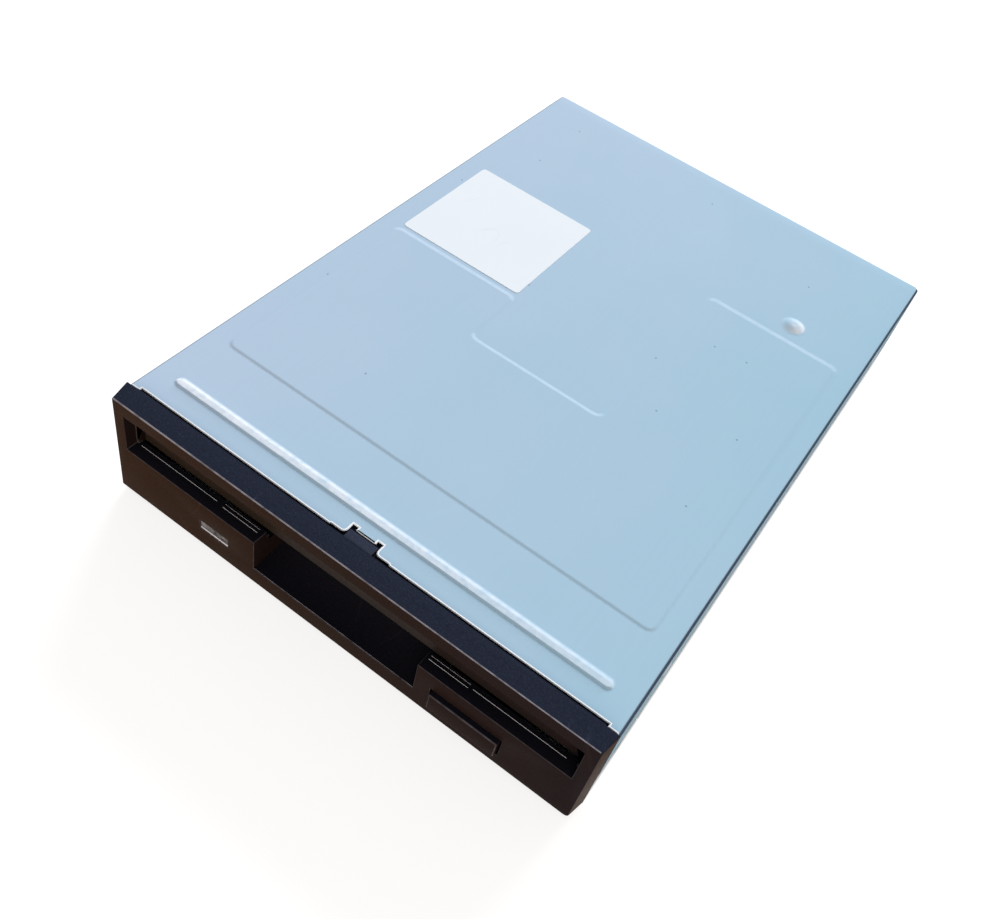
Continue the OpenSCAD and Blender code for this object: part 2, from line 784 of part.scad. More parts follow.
module lever_pivot() {
    color("silver") from_face() union() {
        post(lever_x, lever_v, holder_top_z, holder_top + 0.1, pivot_r - 0.5);
        post(lever_x, lever_v, holder_top, lever_z + lever_t + 0.3, pivot_r);
        post(lever_x, lever_v, lever_z + lever_t + 0.2, lever_z + lever_t + 0.5, pivot_r + 1);
    }
}

// Spindle motor
module spindle_rotor() {
    color("#9da3a6") from_face() difference() {
        post(0, spindle_v, rotor_z, rotor_top, rotor_r);
        post(0, spindle_v, rotor_z - 1, rotor_top - rotor_t, rotor_r - rotor_t);
        post(0, spindle_v, rotor_z, rotor_top + 1, shaft_r);
    }
}

module rotor_magnet() {
    outer = rotor_r - rotor_t;
    color("#3a3a3c") from_face() difference() {
        post(0, spindle_v, rotor_z + 0.2, rotor_top - rotor_t, outer);
        post(0, spindle_v, rotor_z - 1, rotor_top, outer - magnet_t);
    }
}

module spindle_hub() {
    color("#c8c8c4") from_face() difference() {
        post(0, spindle_v, rotor_top, hub_top, hub_r);
        post(0, spindle_v, rotor_top - 1, hub_top + 1, shaft_r);
        post(0, spindle_v - pin_orbit, rotor_top - 1, hub_top + 1, drive_pin_r + 0.3);
    }
}

module spindle_shaft() {
    color("silver") from_face() post(0, spindle_v, board_z - 0.6, hub_top + 2.1, shaft_r);
}

module drive_pin() {
    color("#e6e0cf") from_face() post(0, spindle_v - pin_orbit, rotor_top, hub_top + 1.1, drive_pin_r);
}

module spindle_bearing() {
    color("#c9a24d") from_face() difference() {
        union() {
            post(0, spindle_v, board_top, core_z, bearing_r + 4);
            post(0, spindle_v, board_z - 0.8, rotor_top - rotor_t - 0.4, bearing_r);
        }
        post(0, spindle_v, board_z - 1.8, rotor_top, shaft_r + run_gap);
    }
}

module stator_core() {
    color("#6d7072") from_face() translate([0, spindle_v, core_z]) linear_extrude(core_t) difference() {
        union() {
            circle(bearing_r + 5);
            for (i = [0 : stator_poles - 1]) {
                rotate(360 * i / stator_poles)
                    translate([bearing_r, -1.5]) square([tooth_r - bearing_r - 0.6, 3]);
            }
            for (i = [0 : stator_poles - 1]) {
                rotate(360 * i / stator_poles) intersection() {
                    circle(tooth_r);
                    translate([tooth_r - 2, -4.5]) square([3, 9]);
                }
            }
        }
        circle(bearing_r + run_gap);
    }
}

module stator_coils() {
    inner = bearing_r + 6.2;
    outer = tooth_r - 2.2;
    color("#b5652f") from_face() translate([0, spindle_v, core_z + core_t / 2]) {
        for (i = [0 : stator_poles - 1]) {
            rotate(360 * i / stator_poles) difference() {
                translate([inner, -3, -1.5]) cube([outer - inner, 6, 3]);
                translate([inner - 1, -1.55, -core_t / 2 - 0.05])
                    cube([outer - inner + 2, 3.1, core_t + 0.1]);
            }
        }
    }
}

module index_sensor() {
    color("#2c2c2e") from_face()
        block(rotor_r + 1.5, rotor_r + 4.5, spindle_v - 2, spindle_v + 2, board_top, board_top + 1.6);
}

module motor_board() {
    color("#2f6b46") from_face() difference() {
        union() {
            block(-motor_half_w, motor_half_w, motor_v, motor_rear, board_z, board_top);
            block(lamp_x - 5, lamp_x + 5, neck_v + 0.4, motor_v + 1, board_z, board_top);
        }
        post(0, spindle_v, board_z - 1, board_top + 1, bearing_r + run_gap);
        for (p = motor_screws) {
            post(p[0], p[1], board_z - 1, board_top + 1, screw_shank_d / 2 + run_gap);
        }
    }
}

// Heads and carriage
module head_carriage() {
    bore = main_rod_d / 2 + run_gap;
    color("#8f9698") from_face() difference() {
        union() {
            block(-6, main_rod_x - 3.4, carriage_v, hinge_v + 3, rod_z - 2, carriage_top);
            block(main_rod_x - 3.5, main_rod_x + 3.5, carriage_v + 3.5, hinge_v + 3, rod_z - 3, boss_top);
            block(block_x, 9.5, hinge_v - 6.5, hinge_v + 3, rod_z - 2, block_top);
            block(block_x, -7, hinge_v - 3, hinge_v + 3, block_top - 1, hinge_z + 2.2);
            block(7.5, 9.5, hinge_v - 3, hinge_v + 3, block_top - 1, hinge_z + 2.2);
            // Fork on the side rod
            block(side_rod_x - 2.5, -5, fork_v, fork_rear, rod_z - 2, carriage_top);
            // Follower that rides in the lead screw's groove
            block(screw_x + screw_d / 2 + flat_gap, -8, hinge_v - 2.6, hinge_v - 0.2,
                screw_z - 1.2, screw_z + 1.2);
            // Flag of the track sensor
            block(main_rod_x + 3, flag_x + flag_t, flag_v, flag_v + 2, boss_top - 0.8, boss_top);
            block(flag_x, flag_x + flag_t, flag_v, flag_v + 2, rod_z - 1.7, boss_top);
        }
        rod_along_v(main_rod_x, carriage_v, hinge_v + 4, rod_z, bore);
        block(side_rod_x - 3, side_rod_x + side_rod_d / 2 + run_gap, fork_v - 1, fork_rear + 1,
              rod_z - side_rod_d / 2 - run_gap, rod_z + side_rod_d / 2 + run_gap);
        rod_along_x(-10, 10.5, hinge_v, hinge_z, hinge_r);
    }
}

module lower_head() {
    color("#d8cdbb") from_face() block(-3, 3, head_v - 2, head_v + 2.5, carriage_top, media_z - 0.05);
}

module arm_pin() {
    color("silver") from_face() rod_along_x(block_x, 9.5, hinge_v, hinge_z, hinge_r);
}

module head_arm() {
    color("#7c8487") from_face() difference() {
        union() {
            block(-6.5, 7, head_v - 3, hinge_v, arm_low, arm_low + arm_t);
            rod_along_x(-6.5, 7, hinge_v, hinge_z, hinge_r + 0.9);
            // Tab that rests on the holder's tongue
            block(6.5, opening_half_w + 2, lift_v - 1.5, lift_v + 1.5, holder_top + flat_gap, arm_low + 0.6);
        }
        rod_along_x(-10, 10, hinge_v, hinge_z, hinge_r + run_gap);
    }
}

module upper_head() {
    color("#d8cdbb") from_face() intersection() {
        // Drawn on the lower head, then swung up to its place under the raised arm
        translate([0, hinge_v, hinge_z]) rotate([-arm_drop, 0, 0])
            block(-3, 3, head_v - 2 - hinge_v, head_v + 2.5 - hinge_v, media_z + 0.05 - hinge_z, 2);
        block(-4, 4, head_v - 6, head_v + 6, media_z, arm_low);
    }
}

module main_rod() {
    color("silver") from_face()
        rod_along_v(main_rod_x, rod_front, post_rear_v + post_len, rod_z, main_rod_d / 2);
}

module side_rod() {
    color("silver") from_face()
        rod_along_v(side_rod_x, rod_front, side_post_v + post_len, rod_z, side_rod_d / 2);
}

module rod_post(x, x1, v, r) {
    difference() {
        block(x - 3, x1, v, v + post_len, chassis_t, rod_z + 1.9);
        rod_along_v(x, v - 1, v + post_len + 1, rod_z, r);
    }
}

module rod_posts() {
    color("#a7a9a5") from_face() {
        rod_post(main_rod_x, main_rod_x + 3, rod_front, main_rod_d / 2);
        rod_post(main_rod_x, main_rod_x + 3, post_rear_v, main_rod_d / 2);
        rod_post(side_rod_x, block_x - 0.4, rod_front, side_rod_d / 2);
        rod_post(side_rod_x, block_x - 0.4, side_post_v, side_rod_d / 2);
    }
}

module lead_screw() {
    thread_v0 = bearing_v + bearing_len + 0.8;
    thread_v1 = bracket_v - 0.8;
    thread = thread_v1 - thread_v0;
    color("silver") from_face() union() {
        rod_along_v(screw_x, bearing_v, bracket_v + 5, screw_z, journal_r);
        translate([screw_x, thread_v0, screw_z]) rotate([-90, 0, 0])
            linear_extrude(thread, twist = -360 * thread / screw_lead,
                slices = round(12 * thread / screw_lead))
                translate([0.25, 0]) circle(screw_d / 2 - 0.25, $fn = 14);
    }
}

module screw_bearing() {
    color("#c9b27a") from_face() difference() {
        block(screw_x - 2, screw_x + 2, bearing_v, bearing_v + bearing_len, chassis_t, screw_z + 2);
        rod_along_v(screw_x, bearing_v - 1, bearing_v + bearing_len + 1, screw_z, journal_r + run_gap);
    }
}

module stepper_motor() {
    front = bracket_v + bracket_t;
    color("#b8bcbd") from_face() difference() {
        union() {
            rod_along_v(screw_x, front, front + stepper_len, screw_z, stepper_d / 2);
            rod_along_v(screw_x, front + stepper_len - 0.1, front + stepper_len + 1, screw_z, stepper_d / 4);
        }
        rod_along_v(screw_x, front - 1, front + 5, screw_z, journal_r + run_gap);
    }
}

module stepper_bracket() {
    color("#aeb4b6") from_face() difference() {
        union() {
            block(screw_x - bracket_half_w, screw_x + bracket_half_w, bracket_v, bracket_v + bracket_t,
                chassis_t, screw_z + 8);
            // Foot on the floor under the motor
            block(screw_x - bracket_half_w, screw_x + bracket_half_w, bracket_v, bracket_v + bracket_foot,
                chassis_t, chassis_t + bracket_t);
        }
        rod_along_v(screw_x, bracket_v - 1, bracket_v + bracket_t + 1, screw_z, journal_r + run_gap);
    }
}

module track_sensor() {
    front = flag_v - 1.5;
    color("#2a2a2c") from_face() difference() {
        block(flag_x - 2.2, flag_x + flag_t + 2.2, front, front + 5, main_top, boss_top - 1.2);
        block(flag_x - 0.4, flag_x + flag_t + 0.4, front - 1, front + 6, main_top + 2, boss_top);
    }
}

// Boards and connectors
module main_board() {
    color("#2f6b46") from_face() difference() {
        block(-main_half_w, main_half_w, main_v, main_rear, board_z, main_top);
        block(well_x0, well_x1, well_v, main_rear - 1, board_z - 1, main_top + 1);
        block(main_rod_x - 3 - post_gap, main_rod_x + 3 + post_gap, post_rear_v - post_gap,
              post_rear_v + post_len + post_gap, board_z - 1, main_top + 1);
        for (p = main_screws) {
            post(p[0], p[1], board_z - 1, main_top + 1, screw_shank_d / 2 + run_gap);
        }
    }
}

module controller_chip() {
    color("#232326") from_face()
        block(main_half_w - 22, main_half_w - 10, main_v + 10, main_v + 22, board_z - 1.4, board_z);
}

module driver_chip() {
    color("#232326") from_face()
        block(7 - main_half_w, 14 - main_half_w, main_v + 10, main_v + 22, board_z - 1.4, board_z);
}

// An open-ended plug housing at the rear, with one hole in its back for each pin
module plug_housing(x, w, h, holes) {
    front = drive_len - plug_d;
    difference() {
        block(x - w / 2, x + w / 2, front, drive_len, main_top, main_top + h);
        block(x - w / 2 + plug_t, x + w / 2 - plug_t, front + plug_back, drive_len + 1,
              main_top + plug_t, main_top + h - plug_t);
        // Keyway in the upper wall
        block(x - 2.2, x + 2.2, front + plug_back + 2, drive_len + 1, main_top + h / 2, main_top + h + 1);
        for (p = holes) {
            block(p[0] - pin_side / 2, p[0] + pin_side / 2, front - 1, front + plug_back + 1,
                  p[1] - pin_side / 2, p[1] + pin_side / 2);
        }
    }
}

// A square pin from the plug down to the board, tail being its distance in front of the housing
module bent_pin(p, tail) {
    front = drive_len - plug_d - tail;
    s = pin_side / 2;
    block(p[0] - s, p[0] + s, front, drive_len - 1.2, p[1] - s, p[1] + s);
    block(p[0] - s, p[0] + s, front, front + pin_side, main_top, p[1] + s);
}

function pin_row(x, count, pitch, z) = [for (i = [0 : count - 1]) [x + pitch * (i - (count - 1) / 2), z]];

signal_z = main_top + signal_h / 2;
signal_low = pin_row(signal_x, signal_cols, signal_pitch, signal_z - signal_pitch / 2);
signal_high = pin_row(signal_x, signal_cols, signal_pitch, signal_z + signal_pitch / 2);
power_row = pin_row(power_x, 4, power_pitch, main_top + power_h / 2);

module signal_connector() {
    color("#1f1f22") from_face() plug_housing(signal_x, signal_w, signal_h, concat(signal_low, signal_high));
}

module signal_pins() {
    color("gold") from_face() {
        for (p = signal_low) {
            bent_pin(p, 1);
        }
        for (p = signal_high) {
            bent_pin(p, 1 + signal_pitch);
        }
    }
}

module power_connector() {
    color("#e9e6dc") from_face() plug_housing(power_x, power_w, power_h, power_row);
}

module power_pins() {
    color("silver") from_face() {
        for (p = power_row) {
            bent_pin(p, 1);
        }
    }
}

module cable_connectors() {
    color("#e4dfd0") from_face() {
        block(cable_x - cable_w / 2 - 2, cable_x + cable_w / 2 + 2, motor_rear - 5, motor_rear - 0.5,
              board_top, cable_z + 0.9);
        block(cable_x - cable_w / 2 - 2, cable_x + cable_w / 2 + 2, main_v + 1, main_v + 5.5,
              main_top, cable_z + 0.9);
    }
}

module flat_cable() {
    color("#e8e4d4") from_face()
        block(cable_x - cable_w / 2, cable_x + cable_w / 2, motor_rear - 0.5, main_v + 1, cable_z,
            cable_z + 0.2);
}

module board_screw(p, top) {
    difference() {
        union() {
            post(p[0], p[1], top, top + 1.2, screw_shank_d);
            post(p[0], p[1], chassis_t - 0.8, top + 0.1, screw_shank_d / 2);
        }
        block(p[0] - 1.4, p[0] + 1.4, p[1] - 0.25, p[1] + 0.25, top + 0.6, top + 2);
        block(p[0] - 0.25, p[0] + 0.25, p[1] - 1.4, p[1] + 1.4, top + 0.6, top + 2);
    }
}

module board_screws() {
    color("#c9c4b2") from_face() {
        for (p = motor_screws) {
            board_screw(p, board_top);
        }
        for (p = main_screws) {
            board_screw(p, main_top);
        }
    }
}

module switch_bodies() {
    color("#2b2b2f") from_face() {
        for (p = switch_places) {
            difference() {
                block(p[0] - switch_side / 2, p[0] + switch_side / 2, p[1] - switch_side / 2,
                      p[1] + switch_side / 2, board_top, switch_top);
                post(p[0], p[1], board_top + 0.8, switch_top + 1, plunger_r + run_gap);
            }
        }
    }
}

module plunger(p) {
    color("#e6e2d6") from_face() post(p[0], p[1], board_top + 1 + plunger_travel, plunger_top, plunger_r);
}

module protect_plunger() {
    plunger(switch_places[0]);
}

module density_plunger() {
    plunger(switch_places[1]);
}

module disk_plunger() {
    plunger(switch_places[2]);
}

chassis();
top_cover();
blank_label();
front_bezel();
slot_door();
door_spring();
eject_button();
lamp_lens();
activity_lamp();
slide_plate();
guide_studs();
eject_springs();
disk_holder();
holder_pins();
latch_lever();
lever_pivot();
spindle_rotor();
rotor_magnet();
spindle_hub();
spindle_shaft();
drive_pin();
spindle_bearing();
stator_core();
stator_coils();
index_sensor();
motor_board();
head_carriage();
lower_head();
arm_pin();
head_arm();
upper_head();
main_rod();
side_rod();
rod_posts();
lead_screw();
screw_bearing();
stepper_motor();
stepper_bracket();
track_sensor();
main_board();
controller_chip();
driver_chip();
signal_connector();
signal_pins();
power_connector();
power_pins();
cable_connectors();
flat_cable();
board_screws();
switch_bodies();
protect_plunger();
density_plunger();
disk_plunger();
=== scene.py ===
# %% [markdown]
# A slim internal disk drive, dressed for its picture.
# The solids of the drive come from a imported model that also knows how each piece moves. This lesson
# keeps every solid where it is, gives it a finish, and makes finer meshes for what shows most: the
# pressed lid, the sticker, the bezel, the button, the springs and the connector pins.

# %% Load the frame
import json
import math

import bmesh
import bpy
import numpy as np
from mathutils import Matrix, Vector


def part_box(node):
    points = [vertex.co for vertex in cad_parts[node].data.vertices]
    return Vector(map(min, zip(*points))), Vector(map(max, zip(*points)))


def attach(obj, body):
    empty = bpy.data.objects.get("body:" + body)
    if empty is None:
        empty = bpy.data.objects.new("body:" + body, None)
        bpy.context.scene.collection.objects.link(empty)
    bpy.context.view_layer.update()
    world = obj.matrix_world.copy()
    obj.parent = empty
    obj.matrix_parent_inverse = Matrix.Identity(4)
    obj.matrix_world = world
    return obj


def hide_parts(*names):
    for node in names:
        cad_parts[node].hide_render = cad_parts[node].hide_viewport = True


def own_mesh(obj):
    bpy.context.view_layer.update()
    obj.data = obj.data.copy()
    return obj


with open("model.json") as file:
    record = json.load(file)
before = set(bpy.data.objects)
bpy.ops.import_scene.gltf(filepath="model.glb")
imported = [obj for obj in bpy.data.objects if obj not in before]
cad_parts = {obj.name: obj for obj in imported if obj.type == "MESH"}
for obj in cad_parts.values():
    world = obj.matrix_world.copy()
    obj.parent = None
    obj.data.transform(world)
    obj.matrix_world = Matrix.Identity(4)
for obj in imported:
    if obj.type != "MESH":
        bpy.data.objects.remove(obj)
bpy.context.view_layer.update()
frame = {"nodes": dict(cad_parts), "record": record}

nodes = frame["nodes"]
scene = bpy.context.scene
scene.view_settings.view_transform = "Standard"

# %% [markdown]
# The drawing of the drive counts depth from the face of the bezel, in millimetres, so this lesson does
# too. One small function turns such a place (across, depth, height) into metres in the shared frame.

# %% Places in the drive
MM = 0.001
LENS_SUNK = 0.1
FACE_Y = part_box("lamp_lens")[0].y / MM - LENS_SUNK
HALF_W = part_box("chassis")[1].x / MM
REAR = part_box("chassis")[1].y / MM - FACE_Y
LID_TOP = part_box("blank_label")[0].z / MM


def place(x, depth, z):
    return Vector((x, depth + FACE_Y, z)) * MM


print("bezel face at y =", round(FACE_Y, 2), "mm, rear edge", round(REAR, 2), "mm behind it")

# %% [markdown]
# The camera. A photographer held the camera above the front edge, a little to the right, and turned it
# about its own axis, so the drive runs diagonally through the frame. The lens and the offset of its
# axis were worked out beforehand from the corners of the drive, whose real width is known. A helper
# puts each new thing into the scene.

# %% Camera
FRAME_W, FRAME_H, SENSOR = 1000, 919, 36
FOCAL_PX = 1067.96
AXIS_PX = (537.13, 395.77)
EYE = Vector((0.05551, -0.15028, 0.16916))
azimuth, elevation, roll = (math.radians(a) for a in (21.81, 45.82, 16.40))

back = Vector((math.sin(azimuth) * math.cos(elevation), -math.cos(azimuth) * math.cos(elevation),
               math.sin(elevation)))
level = Vector((math.cos(azimuth), math.sin(azimuth), 0))
upright = back.cross(level)
right = math.cos(roll) * level + math.sin(roll) * upright
up = math.cos(roll) * upright - math.sin(roll) * level


def linked(name, data):
    thing = bpy.data.objects.new(name, data)
    scene.collection.objects.link(thing)
    return thing


camera = linked("camera", bpy.data.cameras.new("camera"))
camera.matrix_world = Matrix.Translation(EYE) @ Matrix((right, up, back)).transposed().to_4x4()
camera.data.sensor_width = SENSOR
camera.data.lens = SENSOR * FOCAL_PX / FRAME_W
camera.data.shift_x = (FRAME_W / 2 - AXIS_PX[0]) / FRAME_W
camera.data.shift_y = (AXIS_PX[1] - FRAME_H / 2) / FRAME_W
camera.data.clip_start = 0.005
scene.camera = camera
print("lens", round(camera.data.lens, 2), "mm")

# %% [markdown]
# Every finish below is a small tree of nodes, and so are the floor and the sky. Writing trees out by
# hand is long, so a few helpers come first: one adds a node and fills its inputs, two do sums and
# products, one stretches a range of values onto another, and one mixes two colours by a mask. Two more
# start a finish from one Principled shader and lead what varies over its surface to that shader. A
# helper that is given a value works in the tree which that value belongs to.

# %% Helpers for node trees
def add(tree, kind, feeds=None, **settings):
    node = tree.nodes.new(kind)
    for name, value in settings.items():
        setattr(node, name, value)
    for key, value in (feeds or {}).items():
        if isinstance(value, bpy.types.NodeSocket):
            tree.links.new(value, node.inputs[key])
        else:
            node.inputs[key].default_value = value
    return node


def sums(operation, first, second=0.0):
    return add(first.id_data, "ShaderNodeMath", {0: first, 1: second}, operation=operation).outputs[0]


def times(first, second):
    return sums("MULTIPLY", first, second)


def spread(value, low, high, start=0.0, stop=1.0):
    feeds = {"Value": value, "From Min": low, "From Max": high, "To Min": start, "To Max": stop}
    return add(value.id_data, "ShaderNodeMapRange", feeds).outputs["Result"]


def tint(mask, first, second):
    feeds = {0: mask, 6: first, 7: second}
    return add(mask.id_data, "ShaderNodeMix", feeds, data_type="RGBA").outputs[2]


finishes = {}


def new_finish(slot, **constants):
    material = bpy.data.materials.new(slot)
    material.use_nodes = True
    shader = material.node_tree.nodes["Principled BSDF"].inputs
    for name, value in constants.items():
        shader[name.replace("_", " ")].default_value = value
    finishes[slot] = material
    return material.node_tree


def dress(tree, base=None, rough=None, normal=None, metal=None, glow=None):
    shader = tree.nodes["Principled BSDF"].inputs
    sources = {"Base Color": base, "Roughness": rough, "Normal": normal, "Metallic": metal,
               "Emission Strength": glow}
    for name, source in sources.items():
        if source is not None:
            tree.links.new(source, shader[name])


# %% [markdown]
# Light. The drive lies on white under a wide soft light from behind, like a window beyond the table.
# Slopes that face away from the window go dark and slopes that face it go bright, which is what draws
# the pressings on the lid. A warm, weak light from the front keeps the bezel's face from going black.

# %% Lamps
def soft_lamp(name, spot, target, size, power, colour):
    lamp = linked(name, bpy.data.lights.new(name, "AREA"))
    lamp.data.shape = "RECTANGLE"
    lamp.data.size, lamp.data.size_y = size
    lamp.data.energy = power
    lamp.data.color = colour
    lamp.location = spot
    lamp.rotation_mode = "QUATERNION"
    lamp.rotation_quaternion = (Vector(target) - Vector(spot)).to_track_quat("-Z", "Y")


soft_lamp("window", (-1.05, 5.475, 2.85), (0, 0, 0.02), (4.8, 2.4), 478, (0.97, 0.985, 1.0))
soft_lamp("room", (0.45, -0.75, 0.25), (0, -0.07, 0.01), (0.6, 0.4), 3.0, (1.0, 0.8, 0.6))

# %% [markdown]
# The background of the picture is plain white. The sky is white where the camera, a reflection or a
# look through a lens meets it, and a paler grey where it only lights the drive. The floor glows a
# little by itself, so that it reads white and still shows a soft shadow round the drive.

# %% Sky and floor
SKY_LIGHT, FLOOR_GLOW = 0.42, 0.78
FLOOR_HALF, FLOOR_Z = 6, -0.0003


def seen_directly(tree):
    ray = add(tree, "ShaderNodeLightPath").outputs
    seen = sums("MAXIMUM", ray["Is Camera Ray"], ray["Is Glossy Ray"])
    return sums("MAXIMUM", seen, ray["Is Transmission Ray"])


world = bpy.data.worlds.new("studio")
scene.world = world
world.use_nodes = True
sky = world.node_tree
sky_light = sky.nodes["Background"]
sky_light.inputs["Color"].default_value = (0.93, 0.96, 1.0, 1)
sky_light.inputs["Strength"].default_value = SKY_LIGHT
sky_seen = add(sky, "ShaderNodeBackground", {"Color": (1, 1, 1, 1), "Strength": 1.0})
sky_pick = add(sky, "ShaderNodeMixShader",
               {0: seen_directly(sky), 1: sky_light.outputs[0], 2: sky_seen.outputs[0]})
sky.links.new(sky_pick.outputs[0], sky.nodes["World Output"].inputs["Surface"])

floor_corners = [(x, y, FLOOR_Z) for x, y in ((-1, -1), (1, -1), (1, 1), (-1, 1))]
floor_mesh = bpy.data.meshes.new("floor")
floor_mesh.from_pydata(floor_corners, [], [(0, 1, 2, 3)])
floor_mesh.transform(Matrix.Diagonal((FLOOR_HALF, FLOOR_HALF, 1, 1)))
tree = new_finish("floor_paint", Base_Color=(0.42, 0.41, 0.4, 1), Roughness=0.9, Specular_IOR_Level=0,
                  Emission_Color=(1, 1, 1, 1))
dress(tree, glow=times(seen_directly(tree), FLOOR_GLOW))
floor_mesh.materials.append(finishes["floor_paint"])
floor = linked("floor", floor_mesh)
print("floor", 2 * FLOOR_HALF, "m wide")

# %% [markdown]
# Four effects are shared by many finishes, so each is a group that a material can place with its own
# values: the fine pitted texture of moulded plastic, the streaks, clouds and specks of rolled sheet, the
# scratches and smudges that handling leaves, and a mask for the wear and the painted highlights on
# rounded edges and crests. The last one reads an attribute named edge, which the rounding helper further
# on writes on the bevelled faces.
# Most of a noise lies between 0.3 and 0.7, so one helper stretches that span.

# %% Helpers for effects
def coordinates(tree, kind="Object"):
    return add(tree, "ShaderNodeTexCoord").outputs[kind]


def axes(vector):
    return add(vector.id_data, "ShaderNodeSeparateXYZ", {0: vector}).outputs


def noise(coords, scale, detail=2.0):
    feeds = {"Vector": coords, "Scale": scale, "Detail": detail}
    return add(coords.id_data, "ShaderNodeTexNoise", feeds).outputs["Fac"]


def swing(value, start=0.0, stop=1.0):
    return spread(value, 0.3, 0.7, start, stop)


def cells(coords, scale, **settings):
    feeds = {"Vector": coords, "Scale": scale}
    return add(coords.id_data, "ShaderNodeTexVoronoi", feeds, **settings).outputs


def chance(cell):
    colour = cell["Color"]
    return add(colour.id_data, "ShaderNodeSeparateColor", {0: colour}).outputs[0]


def new_group(name, kind="ShaderNodeTree", **inputs):
    tree = bpy.data.node_groups.new(name, kind)
    for label, value in inputs.items():
        number = "NodeSocketInt" if isinstance(value, int) else "NodeSocketFloat"
        socket = tree.interface.new_socket(label.replace("_", " "), in_out="INPUT", socket_type=number)
        socket.default_value = value
    return tree, add(tree, "NodeGroupInput").outputs


def end_group(tree, **outputs):
    for label, source in outputs.items():
        kind = "NodeSocketGeometry" if source.type == "GEOMETRY" else "NodeSocketFloat"
        tree.interface.new_socket(label, in_out="OUTPUT", socket_type=kind)
    add(tree, "NodeGroupOutput", outputs)


# %% [markdown]
# The groups themselves. Patches are noise on a scale of many grains. Streaks are noise whose length is
# squeezed, which draws it out along the drive. Specks are dots in a few flat cells, on skins that face
# up. Scratches are the borders of long slanted cells, bent a little and kept only here and there.

# %% Shared effects
PATCH_GRAINS, CLOUD_SCALE = 40, 28
SPECK_SCALE, SPECK_CHANCE, SPECK_FULL_R, SPECK_R = 130, 0.93, 0.02, 0.035
SWAY_SCALE, SWAY, SLANT, SQUEEZE, SCRATCH_W = 20.0, 0.05, (0.3, 0.2, 0.6), (1, 0.06, 1), 0.02

tree, given = new_group("moulded_texture", Grain=3000.0)
coords = coordinates(tree)
wide = noise(coords, sums("DIVIDE", given["Grain"], PATCH_GRAINS))
end_group(tree, Height=noise(coords, given["Grain"], 3), Patches=swing(wide))

tree, given = new_group("rolled_texture", Grain=1500.0, Stretch=0.05)
coords = coordinates(tree)
stretch = add(tree, "ShaderNodeCombineXYZ", {0: 1.0, 1: given["Stretch"], 2: 1.0}).outputs[0]
drawn_out = add(tree, "ShaderNodeVectorMath", {0: coords, 1: stretch}, operation="MULTIPLY").outputs[0]
dots = cells(coords, SPECK_SCALE, voronoi_dimensions="2D")
rare = sums("GREATER_THAN", chance(dots), SPECK_CHANCE)
dot = spread(dots["Distance"], SPECK_FULL_R, SPECK_R, 1, 0)
upward = spread(axes(coordinates(tree, "Normal"))["Z"], 0.8, 0.95)
end_group(tree, Streak=noise(drawn_out, given["Grain"], 4),
          Cloud=swing(noise(coords, CLOUD_SCALE, 3)),
          Speck=times(upward, times(rare, dot)))

tree, given = new_group("handling", Size=90.0)
coords = coordinates(tree)
bent = add(tree, "ShaderNodeTexNoise", {"Vector": coords, "Scale": SWAY_SCALE}).outputs["Color"]
swayed = add(tree, "ShaderNodeMix", {0: SWAY, 4: coords, 5: bent}, data_type="VECTOR").outputs[1]
slanted = add(tree, "ShaderNodeMapping", {"Vector": swayed, "Rotation": SLANT, "Scale": SQUEEZE}).outputs[0]
lines = cells(slanted, given["Size"], feature="DISTANCE_TO_EDGE")["Distance"]
here = spread(noise(coords, 60), 0.56, 0.62)
end_group(tree, Scratch=times(spread(lines, 0, SCRATCH_W, 1, 0), here),
          Smudge=spread(noise(coords, given["Size"], 4), 0.35, 0.7))

# A mask for wear and for painted highlights, read from the attribute edge.
tree, given = new_group("edge_wear_and_glint", Break_up=700.0)
edge = add(tree, "ShaderNodeAttribute", attribute_name="edge").outputs["Fac"]
patchy = spread(noise(coordinates(tree), given["Break up"], 3), 0.25, 0.6, 0.35, 1)
end_group(tree, Wear=times(edge, patchy))
print("groups:", [g.name for g in bpy.data.node_groups])

# %% [markdown]
# Each finish is registered under the name of its material slot. Three more helpers place a group, shade
# a colour, and make a bump whose depth is given in micrometres, because the texture of a moulded or
# rolled skin is a few micrometres deep.

# %% Helpers for finishes
def effect(tree, group, **values):
    feeds = {name.replace("_", " "): value for name, value in values.items()}
    return add(tree, "ShaderNodeGroup", feeds, node_tree=bpy.data.node_groups[group]).outputs


def bump(height, microns):
    feeds = {"Height": height, "Distance": microns * 1e-6, "Strength": 1.0}
    return add(height.id_data, "ShaderNodeBump", feeds).outputs["Normal"]


def shade(colour, factor=1.0):
    return (*(min(1.0, c * factor) for c in colour), 1.0)


# %% [markdown]
# Moulded plastic: the bezel, the door, the button, the lever, the connectors and the chips. The mould is
# etched, which leaves a matte, pitted skin. Fingers polish the edges, so the worn mask lowers the
# roughness there and shows a paler line, which is partly wear and partly a painted highlight. On the
# bezel and the door, the skins that don't face up take a brown that is a painted reflection of warm
# surroundings in front, and on the bezel the navy of the skins that face up is a painted reflection of
# a blue sky. The brown is given for the left end and the right end of the face, and both ends of the
# bezel take the left one. What lies low in the slot and the finger recess, and the inner side walls,
# is painted black as shade.

# %% Moulded plastics
SHADE_LOW, SHADE_HIGH, SHADE_IN, SHADE_FADE = 18, 22, 2, 0.5
SCRATCH_PALE, WEAR_POLISH = 0.5, 0.12


